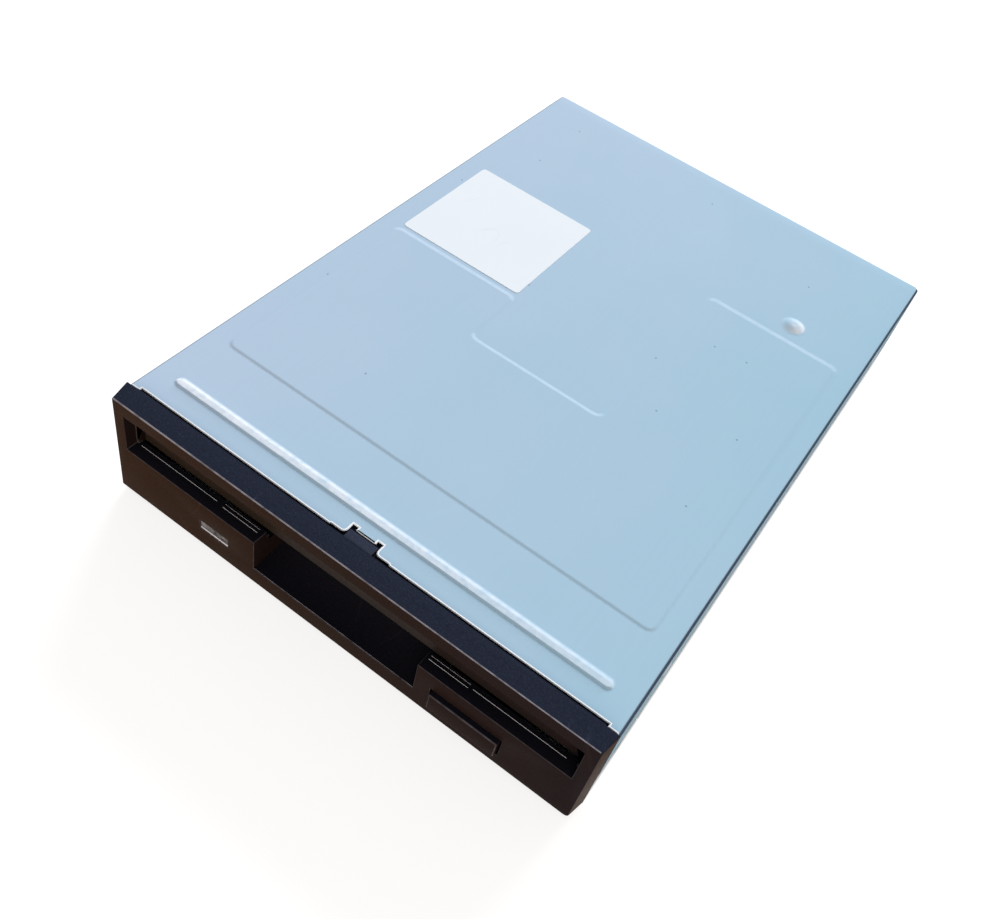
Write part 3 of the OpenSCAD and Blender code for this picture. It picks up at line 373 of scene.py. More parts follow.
def moulded(slot, colour, rough, grain, microns, wear_and_glint, reflected_brown=None, shade_black=None, **constants):
    tree = new_finish(slot, **constants)
    skin = effect(tree, "moulded_texture", Grain=grain)
    marks = effect(tree, "handling")
    wear_and_glint_mask = effect(tree, "edge_wear_and_glint")["Wear"]
    base = colour
    # Painted reflection: skins that don't face up take a reflected brown, skins that face up keep the navy.
    if reflected_brown:
        black = shade(shade_black or colour)
        facing, where = axes(coordinates(tree, "Normal")), axes(coordinates(tree))
        sideways = sums("ABSOLUTE", facing["X"])
        rightward = times(spread(where["X"], -HALF_W * MM, HALF_W * MM),
                          spread(sideways, 0.4, 0.9, 1, 0))
        brown = tint(rightward, shade(reflected_brown[0]), shade(reflected_brown[1]))
        # Painted shade: up-facing skins low in the slot and the finger recess go black, and below, so do the
        # inner side walls.
        top = tint(spread(where["Z"], SHADE_LOW * MM, SHADE_HIGH * MM), black, shade(colour))
        base = tint(spread(facing["Z"], 0.7, 0.2), top, brown)
        inner = spread(sums("ABSOLUTE", where["X"]), (HALF_W - SHADE_IN) * MM,
                       (HALF_W - SHADE_IN - SHADE_FADE) * MM)
        walls = times(inner, spread(sideways, 0.5, 0.9, 0, 0.7))
        base = tint(walls, base, black)
    lively = sums("ADD", spread(skin["Height"], 0.58, 0.75, 1, 1.7),
                  spread(skin["Height"], 0.3, 0.5, -0.25, 0))
    lively = sums("ADD", lively, times(marks["Scratch"], SCRATCH_PALE))
    base = add(tree, "ShaderNodeVectorMath", {0: base, "Scale": lively}, operation="SCALE").outputs[0]
    gloss = spread(marks["Smudge"], 0, 1, rough + 0.05, rough - 0.04)
    gloss = sums("SUBTRACT", gloss, times(wear_and_glint_mask, WEAR_POLISH))
    # The pale colour on marked edges is partly wear and partly a painted highlight.
    dress(tree, tint(wear_and_glint_mask, base, shade(wear_and_glint)), gloss, bump(skin["Height"], microns))


# Bezel: the navy and the browns are painted reflections, the pale edge colour is partly a painted highlight,
# the black is painted shade.
moulded("bezel_plastic", (0.019, 0.024, 0.043), 0.5, 3200, 22, (0.90, 0.87, 1.0),
        reflected_brown=((0.040, 0.0178, 0.0075), (0.0145, 0.008, 0.0087)), shade_black=(0.009, 0.0085, 0.013),
        Specular_IOR_Level=0.02)
moulded("door_plastic", (0.0085, 0.0085, 0.0105), 0.5, 3200, 18, (0.06, 0.055, 0.06),
        reflected_brown=((0.030, 0.019, 0.012), (0.018, 0.012, 0.012)), Specular_IOR_Level=0.08)
moulded("lever_plastic", (0.62, 0.58, 0.49), 0.42, 2600, 8, (0.68, 0.64, 0.55))
moulded("connector_black", (0.016, 0.016, 0.018), 0.42, 3600, 12, (0.05, 0.05, 0.052),
        Specular_IOR_Level=0.35)
moulded("connector_white", (0.76, 0.74, 0.66), 0.45, 3600, 10, (0.82, 0.80, 0.73))
moulded("chip_black", (0.022, 0.022, 0.024), 0.55, 6000, 14, (0.04, 0.04, 0.042), Specular_IOR_Level=0.3)
print("finishes so far:", list(finishes))

# %% [markdown]
# Rolled sheet steel. The lid is cold rolled and zinc plated with a pale blue passivation, so it looks
# almost painted: even, satin, with long faint streaks along the rolling direction and a few dark specks.
# Its colour drifts at random, and paler and towards lavender on the left, which is painted light. Round
# its folds a dark line is painted, a painted reflection of dark surroundings in the bend, and its rib
# crest, the right side of its dimple and the panel's slopes that face the rear take a pale painted
# highlight. The chassis is hot-dip galvanised, and its zinc has frozen in flat crystals, the spangle,
# which Voronoi cells imitate. Its sides are painted darker below the seam under the lid, a painted shade.
# The mechanism is bare rolled strip. A dark band is given by its colour, by the heights where it begins,
# is full, fades and is gone, and by how far out it starts.

# %% Sheet steel
SPANGLE_SCALE, DARK_BAND_FADE = 260.0, 0.1


def rolled(slot, colour, left_light_colour, metal, rough, spangle=0.0, scratched=0.25, painted_glint=None, painted_dark_band=None,
           **constants):
    tree = new_finish(slot, Metallic=metal, **constants)
    sheet = effect(tree, "rolled_texture")
    marks = effect(tree, "handling")
    coords = coordinates(tree)
    where = axes(coords)
    facet = chance(cells(coords, SPANGLE_SCALE))
    # Painted light: the colour turns paler towards the left, plus a random cloud.
    left_light_drift = sums("ADD", spread(where["X"], HALF_W * MM, -HALF_W * MM, 0, 0.75),
                    times(sheet["Cloud"], 0.25))
    base = tint(left_light_drift, shade(colour), shade(left_light_colour))
    streaks = times(spread(sheet["Streak"], 0.35, 0.7), 0.06)
    base = tint(times(facet, spangle), base, shade(colour, 0.55))
    base = tint(streaks, base, shade(colour, 1.25))
    base = tint(times(sheet["Speck"], 0.7), base, shade(colour, 0.45))
    # Painted highlight where the attribute edge is set.
    if painted_glint:
        base = tint(effect(tree, "edge_wear_and_glint")["Wear"], base, shade(painted_glint))
    # Painted shade: a dark band between given heights, on the outer sides.
    if painted_dark_band:
        dark, (begins, full, fades, gone), least_x = painted_dark_band
        band = times(spread(where["Z"], begins * MM, full * MM),
                     spread(where["Z"], gone * MM, fades * MM))
        outward = spread(sums("ABSOLUTE", where["X"]), (least_x - DARK_BAND_FADE) * MM, least_x * MM)
        base = tint(times(band, outward), base, shade(dark))
    base = tint(times(marks["Scratch"], scratched), base, shade(colour, 1.3))
    gloss = swing(sheet["Streak"], rough - 0.04, rough + 0.05)
    gloss = sums("ADD", gloss, times(facet, 0.25 * spangle))
    gloss = sums("SUBTRACT", gloss, times(marks["Smudge"], 0.05))
    dress(tree, base, gloss, bump(sheet["Streak"], 1.5))


SEAM_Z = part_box("top_cover")[0].z / MM
FOLD_HEIGHTS = [LID_TOP - drop for drop in (0.05, 0.15, 0.8, 1.3)]
SEAM_HEIGHTS = [SEAM_Z - drop for drop in (-0.3, 0.0, 1.0, 5.0)]
# Lid: the pale colour is a painted highlight, the dark band round the folds a painted reflection.
rolled("cover_steel", (0.37, 0.575, 0.715), (0.49, 0.61, 0.765), 0.0, 0.6, scratched=0.05,
       painted_glint=(0.82, 0.86, 0.93), painted_dark_band=((0.062, 0.088, 0.135), FOLD_HEIGHTS, 0), Specular_IOR_Level=0.02)
# Chassis: the dark band below the seam is painted shade.
rolled("chassis_steel", (0.56, 0.60, 0.62), (0.60, 0.62, 0.62), 0.7, 0.40, spangle=0.2,
       painted_dark_band=((0.09, 0.095, 0.11), SEAM_HEIGHTS, HALF_W))
rolled("mechanism_steel", (0.58, 0.60, 0.58), (0.62, 0.62, 0.59), 0.8, 0.36, spangle=0.1)
print("sheets done:", len(finishes), "finishes")

# %% [markdown]
# Drawn and plated metal: rods, pins, springs, contacts and the copper of the windings. Drawing leaves
# very fine lines along the piece, and plating evens them out. Grainy solids are cast, sintered or fired
# instead: the zinc carriage, the oil-filled bronze bearings, the ferrite ring and the ceramic heads.

# %% Drawn metal and grainy solids
def drawn(slot, colour, rough, grain=4000, stretch=0.03):
    tree = new_finish(slot, Metallic=1.0)
    lines = effect(tree, "rolled_texture", Grain=grain, Stretch=stretch)
    smudges = times(effect(tree, "handling", Size=160)["Smudge"], 0.06)
    gloss = sums("ADD", swing(lines["Streak"], rough - 0.05, rough + 0.08), smudges)
    dress(tree, tint(lines["Cloud"], shade(colour, 0.9), shade(colour, 1.08)), gloss,
          bump(lines["Streak"], 2))


def grainy(slot, colour, rough, metal, grain, microns):
    tree = new_finish(slot, Metallic=metal)
    skin = effect(tree, "moulded_texture", Grain=grain)
    pores = spread(skin["Height"], 0.3, 0.5)
    base = tint(pores, shade(colour, 0.5), shade(colour))
    base = tint(times(skin["Patches"], 0.4), base, shade(colour, 1.15))
    dress(tree, base, spread(pores, 0, 1, rough + 0.15, rough), bump(skin["Height"], microns))


drawn("bright_steel", (0.70, 0.70, 0.69), 0.2)
drawn("spring_steel", (0.55, 0.56, 0.58), 0.3)
drawn("copper_wire", (0.72, 0.34, 0.17), 0.34, grain=2500, stretch=0.4)
drawn("contact_gold", (0.90, 0.66, 0.27), 0.24)
drawn("contact_tin", (0.74, 0.74, 0.72), 0.36)
grainy("carriage_metal", (0.50, 0.52, 0.53), 0.5, 0.8, 2200, 10)
grainy("bearing_bronze", (0.58, 0.41, 0.19), 0.48, 0.9, 4000, 12)
grainy("core_steel", (0.36, 0.38, 0.40), 0.5, 0.8, 3000, 8)
grainy("ferrite", (0.045, 0.045, 0.048), 0.55, 0.0, 5000, 10)
grainy("head_ceramic", (0.66, 0.61, 0.52), 0.3, 0.0, 5200, 3)
print("metals and grainy solids done:", len(finishes), "finishes")

# %% [markdown]
# The last finishes are one of a kind. The sticker is white coated paper. The lens is smoky, slightly
# clouded plastic that guides light to its edges, most of all to the lower one; that light is painted into
# its colour as pale rims and a near white line at the bottom.

# %% Sticker and lens
tree = new_finish("label_paper", Specular_IOR_Level=0.03)
paper = effect(tree, "moulded_texture", Grain=1400)
white = tint(paper["Patches"], (0.845, 0.90, 0.955, 1), (0.87, 0.92, 0.97, 1))
scratches = times(effect(tree, "handling")["Scratch"], 0.12)
dress(tree, tint(scratches, white, (0.6, 0.62, 0.65, 1)), swing(paper["Height"], 0.55, 0.7),
      bump(paper["Height"], 3))

LENS_FLANGE, LENS_RIM, LENS_LINE, LINE_FADE = 0.7, 0.3, 0.48, 0.12
flange = Vector((LENS_FLANGE, 0, LENS_FLANGE))
lens_low, lens_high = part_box("lamp_lens")[0] / MM + flange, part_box("lamp_lens")[1] / MM - flange
lens_middle, lens_half = (lens_low.x + lens_high.x) / 2, (lens_high.x - lens_low.x) / 2
tree = new_finish("lens_plastic", Transmission_Weight=0.05, IOR=1.49, Specular_IOR_Level=0.08)
coords = coordinates(tree)
spot = axes(coords)
from_middle = sums("ABSOLUTE", sums("SUBTRACT", spot["X"], lens_middle * MM))
aside = spread(from_middle, (lens_half - LENS_RIM - 0.5) * MM, (lens_half - LENS_RIM) * MM)
above = spread(spot["Z"], (lens_high.z - 2 * LENS_RIM) * MM, (lens_high.z - LENS_RIM) * MM)
# Painted light: pale rims, and below a near white line at the bottom.
rim_glow = times(sums("MAXIMUM", aside, above), 0.2)
cloudy = spread(noise(coords, 430), 0.5, 0.66, 0.0, 0.5)
glow = sums("MAXIMUM", rim_glow, cloudy)
smoke = tint(glow, (0.022, 0.019, 0.02, 1), (0.56, 0.51, 0.52, 1))
below = spread(spot["Z"], (lens_low.z + LENS_LINE + LINE_FADE) * MM, (lens_low.z + LENS_LINE) * MM)
dress(tree, tint(below, smoke, (0.96, 0.93, 1.0, 1)), swing(noise(coords, 2500), 0.16, 0.3),
      bump(noise(coords, 900), 2))
print("lens window in mm:", round(2 * lens_half, 2), "by", round(lens_high.z - lens_low.z, 2))

# %% [markdown]
# The lamp behind the lens is a clear green. The circuit boards carry copper tracks under green lacquer,
# drawn here by a brick pattern with long thin bricks, and silver solder spots. The flat cable is a clear
# film over tinned strips.

# %% Lamp, boards and cable
tree = new_finish("lamp_plastic", Transmission_Weight=0.5, IOR=1.52)
cloud = effect(tree, "moulded_texture", Grain=900)
dress(tree, tint(cloud["Patches"], (0.52, 0.74, 0.48, 1), (0.66, 0.82, 0.60, 1)),
      swing(cloud["Height"], 0.15, 0.3))

TRACK_PITCH, TRACK_LENGTH, TRACK_GAP, SOLDER_SCALE = 0.00127, 0.0093, 0.00016, 210.0
tree = new_finish("board_green", Specular_IOR_Level=0.5)
coords = coordinates(tree)
tracks = add(tree, "ShaderNodeTexBrick", {
    "Vector": coords, "Scale": 1.0, "Mortar Size": TRACK_GAP, "Mortar Smooth": 0.3, "Bias": 0.0,
    "Brick Width": TRACK_LENGTH, "Row Height": TRACK_PITCH},
    offset=0.37, squash=1.6, squash_frequency=3).outputs["Fac"]
solder = spread(cells(coords, SOLDER_SCALE)["Distance"], 0.1, 0.14, 1, 0)
lacquer = tint(noise(coords, 120), (0.012, 0.085, 0.040, 1), (0.018, 0.12, 0.058, 1))
lacquer = tint(tracks, lacquer, (0.045, 0.22, 0.10, 1))
dress(tree, tint(solder, lacquer, (0.60, 0.60, 0.58, 1)),
      swing(noise(coords, 900), 0.26, 0.4),
      bump(sums("ADD", tracks, solder), 25), solder)

STRIP_SCALE = 314.0
tree = new_finish("cable_film", Specular_IOR_Level=0.6)
coords = coordinates(tree)
waves = add(tree, "ShaderNodeTexWave", {"Vector": coords, "Scale": STRIP_SCALE, "Distortion": 0.0},
            bands_direction="X").outputs["Fac"]
strip = spread(waves, 0.45, 0.55)
dress(tree, tint(strip, (0.62, 0.60, 0.52, 1), (0.70, 0.70, 0.68, 1)),
      swing(noise(coords, 400), 0.24, 0.36), bump(strip, 20), strip)
print("all finishes:", len(finishes))

# %% [markdown]
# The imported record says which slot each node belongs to, so one loop dresses every solid of the drive.
# The pieces that are made anew below take their finish from the same table.

# %% Dress the solids
slot_of = {row["node"]: row["material_slot"] for row in frame["record"]["subparts"]}
bodies = frame["record"]["behaviour"]["bodies"]
body_of = {node: body for body, members in bodies.items() for node in members}
for name, solid in nodes.items():
    solid.data.materials.clear()
    solid.data.materials.append(finishes[slot_of[name]])


def new_piece(name, mesh, stands_for):
    piece = linked(name, mesh)
    if not mesh.materials:
        mesh.materials.append(finishes[slot_of[stands_for]])
    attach(piece, body_of[stands_for])
    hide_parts(stands_for)
    print(name, "stands for", stands_for, "with", len(mesh.polygons), "faces")
    return piece


# %% [markdown]
# The lid. On the real drive it is half a millimetre of steel, pressed so that a panel, a rib and a
# dimple stand up from the flat, and folded down at both sides and at the rear. A sculpted block could
# imitate that, but a sheet is a sheet: one outer skin follows a height formula, and a Solidify
# modifier gives it the thickness. The skin's grid is fine only near the slopes of the pressings.

# %% Heights of the pressings
PANEL_HALF_W, PANEL_FRONT, PANEL_REAR, PANEL_LEFT_REAR = 46, 22.7, 104.2, 72.2
NOTCH_HALF_W, NOTCH_FRONT = 15.3, 56.6
PANEL_RISE, PANEL_FRONT_SLOPE, PANEL_REAR_SLOPE, PANEL_CORNER = 0.2, 0.7, 1.8, 1.6
RIB_DEPTH, RIB_HALF_L, RIB_HALF_W, RIB_RISE = 10.6, 46, 1.2, 0.32
RIB_FRONT_SLOPE, RIB_REAR_SLOPE = 0.4, 1.2
DIMPLE_X, DIMPLE_DEPTH, DIMPLE_R, DIMPLE_CREST, DIMPLE_RISE = 33.1, 109.8, 3.0, 0.5, 0.75


def inside_both(a, b, r):
    return np.minimum(np.maximum(a, b), -r) + np.hypot(np.maximum(a + r, 0), np.maximum(b + r, 0))


def inside_either(a, b, r):
    return np.maximum(np.minimum(a, b), r) - np.hypot(np.maximum(r - a, 0), np.maximum(r - b, 0))


def ease(t):
    t = np.clip(t, 0, 1)
    return t * t * (3 - 2 * t)


def pressing_height(x, depth):
    middle = (PANEL_FRONT + PANEL_REAR) / 2
    whole = inside_both(np.abs(x) - PANEL_HALF_W, np.abs(depth - middle) - PANEL_REAR + middle, PANEL_CORNER)
    notch = inside_both(np.abs(x) - NOTCH_HALF_W, NOTCH_FRONT - depth, PANEL_CORNER)
    cut = inside_either(notch, np.maximum(x, PANEL_LEFT_REAR - depth), PANEL_CORNER)
    rearward = ease((depth - PANEL_FRONT) / (PANEL_REAR - PANEL_FRONT))
    slope = PANEL_FRONT_SLOPE + (PANEL_REAR_SLOPE - PANEL_FRONT_SLOPE) * rearward
    panel = PANEL_RISE * ease(0.5 - inside_both(whole, -cut, PANEL_CORNER) / slope)
    past_end = np.maximum(np.abs(x) - RIB_HALF_L + RIB_HALF_W, 0)
    inward = RIB_HALF_W - np.hypot(past_end, depth - RIB_DEPTH)
    behind = ease((depth - RIB_DEPTH) / RIB_HALF_W + 0.5)
    climb = np.clip(inward / (RIB_FRONT_SLOPE + (RIB_REAR_SLOPE - RIB_FRONT_SLOPE) * behind), 0, 1)
    rib = RIB_RISE * (climb + ease(climb)) / 2
    away = np.hypot(x - DIMPLE_X, depth - DIMPLE_DEPTH)
    dimple = DIMPLE_RISE * ease((DIMPLE_R - away) / (DIMPLE_R - DIMPLE_CREST))
    return np.maximum(panel, np.maximum(rib, dimple))


print("height of the panel's middle:", float(pressing_height(np.array(30.0), np.array(40.0))), "mm")

# %% [markdown]
# The grid is laid out as two lists of stations. Each station has a place and a drop below the flat,
# so the folded sides and the rear lip are just more stations past a quarter turn.

# %% Skin of the lid
BEND, LID_FRONT, LIP_LOW = 0.8, 4.4, 13.3
FINE, COARSE, TURN_STEPS = 0.16, 3.0, 5
FINE_REACH, SLOPE_REACH, RIB_REACH = 2.6, 1, 0.1


def stations(low, high, busy):
    marks = sorted({low, high, *(min(max(end, low), high) for pair in busy for end in pair)})
    places = []
    for start, stop in zip(marks, marks[1:]):
        step = FINE if any(a <= (start + stop) / 2 <= b for a, b in busy) else COARSE
        count = math.ceil((stop - start) / step - 1e-6)
        places += [start + (stop - start) * i / count for i in range(count)]
    return places + [high]


def fold(edge, hang):
    turns = [math.pi / 2 * i / TURN_STEPS for i in range(1, TURN_STEPS + 1)]
    down = [(edge - BEND + BEND * math.sin(a), BEND - BEND * math.cos(a)) for a in turns]
    return down + [(edge, hang)]


side = fold(HALF_W, LID_TOP - SEAM_Z)
slopes_x = [s * x for s in (-1, 1) for x in (PANEL_HALF_W - 1, NOTCH_HALF_W)]
busy_x = [(x - FINE_REACH, x + FINE_REACH) for x in slopes_x]
busy_x += [(DIMPLE_X - DIMPLE_R, DIMPLE_X + DIMPLE_R)]
across = [(-x, d) for x, d in reversed(side)]
across += [(x, 0) for x in stations(BEND - HALF_W, HALF_W - BEND, busy_x)] + side
busy_depth = [(d - SLOPE_REACH, d + FINE_REACH) for d in (PANEL_FRONT, NOTCH_FRONT)]
busy_depth += [(d - FINE_REACH, d + SLOPE_REACH) for d in (PANEL_LEFT_REAR, PANEL_REAR)]
busy_depth += [(d - r, d + r) for d, r in ((RIB_DEPTH, RIB_HALF_W + RIB_REACH), (DIMPLE_DEPTH, DIMPLE_R))]
along = [(v, 0) for v in stations(LID_FRONT, REAR - BEND, busy_depth)] + fold(REAR, LID_TOP - LIP_LOW)

xs, x_drops = (np.array(values) for values in zip(*across))
depths, depth_drops = (np.array(values) for values in zip(*along))
grid_x, grid_depth = np.meshgrid(xs, depths)
flat = (x_drops[None, :] == 0) & (depth_drops[:, None] == 0)
grid_z = LID_TOP - x_drops[None, :] - depth_drops[:, None] + flat * pressing_height(grid_x, grid_depth)
points = np.stack([grid_x, grid_depth + FACE_Y, grid_z], axis=-1).reshape(-1, 3) * MM

columns = len(xs)
faces = []
for j in range(len(depths) - 1):
    for i in range(columns - 1):
        if max(x_drops[i], x_drops[i + 1]) == 0 or max(depth_drops[j], depth_drops[j + 1]) == 0:
            a = j * columns + i
            faces.append((a, a + 1, a + columns + 1, a + columns))
skin = bpy.data.meshes.new("lid_skin")
skin.from_pydata(points.tolist(), [], faces)
form = bmesh.new()
form.from_mesh(skin)
bmesh.ops.delete(form, geom=[v for v in form.verts if not v.link_faces], context="VERTS")
form.to_mesh(skin)
form.free()
print("lid skin:", columns, "by", len(depths), "stations,", len(faces), "faces")

# %% [markdown]
# The lid's front edge is not straight: a notch in the middle clears a tab of the bezel, with a small
# relief cut in each corner, and the edge steps back a little beside it. A punch of that outline cuts
# the sheet, and four round punches make the holes where the lid snaps onto the chassis. One helper
# raises an outline to a prism, and two turn a form or an evaluated object into a plain mesh.

# %% Punch and thicken the lid
SHEET = 0.5
EDGE_DEPTH, NEAR_EDGE_DEPTH, NEAR_HALF_W, NEAR_STEP, CORNER_X = 5.0, 5.2, 6.0, 0.2, 48.4
GATE_HALF_W, GATE_DEPTH, RELIEF_IN, RELIEF_DEPTH, GATE_R = 3.1, 6.75, 2.1, 7.4, 0.9
CATCH_DEPTHS, CATCH_Z, CATCH_R, CATCH_PUNCH = (24, REAR - 22), 17, 1.6, 4
PUNCH_BELOW, PUNCH_HEIGHT, PUNCH_AHEAD = 3, 6, 2


def arc(x, depth, r, start, stop, steps=6):
    turns = [math.radians(start + (stop - start) * i / steps) for i in range(steps + 1)]
    return [(x + r * math.cos(a), depth + r * math.sin(a)) for a in turns]


def raise_outline(form, outline, height):
    blank = form.faces.new([form.verts.new(point) for point in outline])
    risen = bmesh.ops.extrude_face_region(form, geom=[blank])["geom"]
    top = [g for g in risen if isinstance(g, bmesh.types.BMVert)]
    bmesh.ops.translate(form, vec=(0, 0, height), verts=top)
    return top


def as_mesh(form, name):
    mesh = bpy.data.meshes.new(name)
    form.to_mesh(mesh)
    form.free()
    return mesh


def evaluated(piece):
    mesh = bpy.data.meshes.new_from_object(piece.evaluated_get(bpy.context.evaluated_depsgraph_get()))
    bpy.data.objects.remove(piece)
    return mesh


half_edge = [(RELIEF_IN, GATE_DEPTH), (RELIEF_IN, RELIEF_DEPTH), (GATE_HALF_W, RELIEF_DEPTH)]
half_edge += arc(GATE_HALF_W + GATE_R, NEAR_EDGE_DEPTH + GATE_R, GATE_R, 180, 270)
half_edge += [(NEAR_HALF_W, NEAR_EDGE_DEPTH), (NEAR_HALF_W + NEAR_STEP, EDGE_DEPTH)]
half_edge += [(CORNER_X, EDGE_DEPTH), (CORNER_X, LID_FRONT - PUNCH_AHEAD)]
outline = half_edge + [(-x, depth) for x, depth in reversed(half_edge)]

punch = bmesh.new()
raise_outline(punch, [place(x, depth, LID_TOP - PUNCH_BELOW) for x, depth in outline], PUNCH_HEIGHT * MM)
for depth in CATCH_DEPTHS:
    for turn in (-1, 1):
        spot = Matrix.Translation(place(turn * HALF_W, depth, CATCH_Z)) @ Matrix.Rotation(math.pi / 2, 4, "Y")
        bmesh.ops.create_cone(punch, cap_ends=True, segments=40, radius1=CATCH_R * MM,
                              radius2=CATCH_R * MM, depth=CATCH_PUNCH * MM, matrix=spot)
bmesh.ops.recalc_face_normals(punch, faces=punch.faces)

punch_tool = linked("punch", as_mesh(punch, "punch"))
blank = linked("blank", skin)
for kind, options in (("SOLIDIFY", {"thickness": SHEET * MM, "offset": -1, "use_even_offset": True}),
                      ("BOOLEAN", {"object": punch_tool, "operation": "DIFFERENCE", "solver": "EXACT"})):
    modifier = blank.modifiers.new(kind, kind)
    for name, value in options.items():
        setattr(modifier, name, value)
lid_mesh = evaluated(blank)
bpy.data.objects.remove(punch_tool)
print("lid:", len(lid_mesh.polygons), "faces")

# %% [markdown]
# Shearing leaves bare steel along the lid's front edge, where the plating is gone: the fraction of a
# millimetre that the shear rolled over is a small bevel with a material of its own, near white, which is
# partly bare steel and partly a painted highlight. Below it, the cut deep in the gap behind the bezel is
# painted near black as shade, and that gets a third one. The rib's crest takes a pale painted highlight,
# most on the left, but not on its steep front. The dimple takes it on its right, and so do the slopes of
# the panel that face the rear, a little, so the attribute edge is set there.

# %% Bare edge and rubbed crests of the lid
# Near white: bare cut steel with a painted highlight.
tree = new_finish("bare_edge_highlight", Metallic=0.1)
streak = effect(tree, "rolled_texture", Grain=5000, Stretch=1.0)["Streak"]
dress(tree, tint(streak, (0.90, 0.94, 0.98, 1), (0.97, 0.98, 1.0, 1)), swing(streak, 0.3, 0.5),
      bump(streak, 6))

# Painted shade for the cut deep in the gap behind the bezel.
tree = new_finish("gap_shade", Roughness=0.8, Specular_IOR_Level=0.1)
gap_mottle = effect(tree, "moulded_texture", Grain=2000)["Height"]
dress(tree, tint(gap_mottle, (0.006, 0.006, 0.009, 1), (0.018, 0.017, 0.02, 1)))

ROLLED_EDGE, EDGE_PROFILE, CUT_ANGLE, LID_SHARP = 0.34, 0.8, 60, 21
CREST_LOW, CREST_HIGH, PRESSING_APART = 0.02, 0.1, 2
STEEP, SLOPE_LEAST, SLOPE_GLINT = -0.3, 0.07, 0.18


# How strongly each face takes the painted highlight.
def painted_glint_part(spot, normal):
    crest = min(max((spot.z - LID_TOP - CREST_LOW) / (CREST_HIGH - CREST_LOW), 0), 1)
    if spot.y - FACE_Y < PANEL_FRONT - PRESSING_APART:
        return crest * (0.7 - 0.3 * spot.x / HALF_W) if normal.y > STEEP else 0
    if spot.y - FACE_Y > PANEL_REAR + PRESSING_APART:
        return crest * min(max(0.5 + 1.2 * normal.x, 0), 1)
    return SLOPE_GLINT if normal.z > 0.8 and normal.y > SLOPE_LEAST else 0


def sharp_edges(form, degrees):
    return [e for e in form.edges if len(e.link_faces) == 2 and e.calc_face_angle() > math.radians(degrees)]


def bevel(form, edges, width, segments, profile=0.5):
    return bmesh.ops.bevel(form, geom=edges, offset=width * MM, offset_type="OFFSET", segments=segments,
                           profile=profile, affect="EDGES", clamp_overlap=False)["faces"]


lid_mesh.materials.clear()
for slot in ("cover_steel", "bare_edge_highlight", "gap_shade"):
    lid_mesh.materials.append(finishes[slot])
lid = bmesh.new()
lid.from_mesh(lid_mesh)
mark = lid.faces.layers.float.new("edge")
front_limit = (FACE_Y + RELIEF_DEPTH + 0.5) * MM
cut_edges = [e for e in sharp_edges(lid, CUT_ANGLE)
             if all(v.co.y < front_limit and v.co.z > (LID_TOP - 0.05) * MM for v in e.verts)]
rolled_over = bevel(lid, cut_edges, ROLLED_EDGE, 3, EDGE_PROFILE)
for face in lid.faces:
    spot = face.calc_center_median()
    cut = spot.y < front_limit and face.normal.y < -0.6
    face.material_index = 2 if cut else 0
    face[mark] = painted_glint_part(spot / MM, face.normal)
# The rolled-over bevel: faces that look up take the painted highlight, the front ones the painted shade.
for face in rolled_over:
    face.material_index = 1 if face.normal.z > 0.5 else 2
print("cut edges:", len(cut_edges), "rolled faces:", len(rolled_over))
lid.to_mesh(lid_mesh)
lid.free()
lid_mesh.shade_smooth()
lid_mesh.set_sharp_from_angle(angle=math.radians(LID_SHARP))
new_piece("pressed_lid", lid_mesh, "top_cover")

# %% [markdown]
# The sticker. It is left blank. A square of coated paper with small rounded corners lies on the flat
# of the lid; its thickness is a tenth of a millimetre, so it is a thin extruded outline.

# %% Sticker
LABEL_CORNER, LABEL_EDGE = 0.8, 0.04
label_low, label_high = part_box("blank_label")


def rounded_rectangle(low_x, low_y, high_x, high_y, r):
    corners = ((high_x - r, low_y + r, -90), (high_x - r, high_y - r, 0),
               (low_x + r, high_y - r, 90), (low_x + r, low_y + r, 180))
    return [p for x, y, start in corners for p in arc(x, y, r, start, start + 90)]


sticker = bmesh.new()
ring = rounded_rectangle(label_low.x, label_low.y, label_high.x, label_high.y, LABEL_CORNER * MM)
top_verts = raise_outline(sticker, [(x, y, label_low.z) for x, y in ring], label_high.z - label_low.z)
bmesh.ops.recalc_face_normals(sticker, faces=sticker.faces)
rim = [e for e in sticker.edges if all(v in top_verts for v in e.verts)]
bevel(sticker, rim, LABEL_EDGE, 2)
new_piece("sticker", as_mesh(sticker, "sticker"), "blank_label")

# %% [markdown]
# Moulded and stamped pieces have no knife edges. Their solids are right, so a copy of each mesh is
# enough: its loose triangles are merged into flat faces, and the sharp edges that show are rounded in
# one or more passes. The faces that a pass makes are marked in the attribute edge, which the finishes
# read.

# %% Rounded copies
SHARP_EDGE, SMOOTH_LIMIT = 40, 24


def clean_form(node):
    form = bmesh.new()
    form.from_mesh(nodes[node].data)
    bmesh.ops.remove_doubles(form, verts=form.verts, dist=2e-6)
    bmesh.ops.dissolve_limit(form, angle_limit=math.radians(0.5), verts=form.verts, edges=form.edges)
    form.faces.layers.float.new("edge")
    return form


def round_edges(form, width, wear_and_glint, wanted):
    edges = [e for e in sharp_edges(form, SHARP_EDGE)
             if e.calc_length() > 1.2 * width * MM and wanted(*(v.co / MM for v in e.verts))]
    made = bevel(form, edges, width, 4)
    mark = form.faces.layers.float["edge"]
    for face in made:
        face[mark] = wear_and_glint
    return made


def finished_form(form, name):
    mesh = as_mesh(form, name)
    mesh.shade_smooth()
    mesh.set_sharp_from_angle(angle=math.radians(SMOOTH_LIMIT))
    return mesh


def pressed_end(a, b):
    return max(a.y, b.y) < FACE_Y + 1


def anywhere(a, b):
    return True


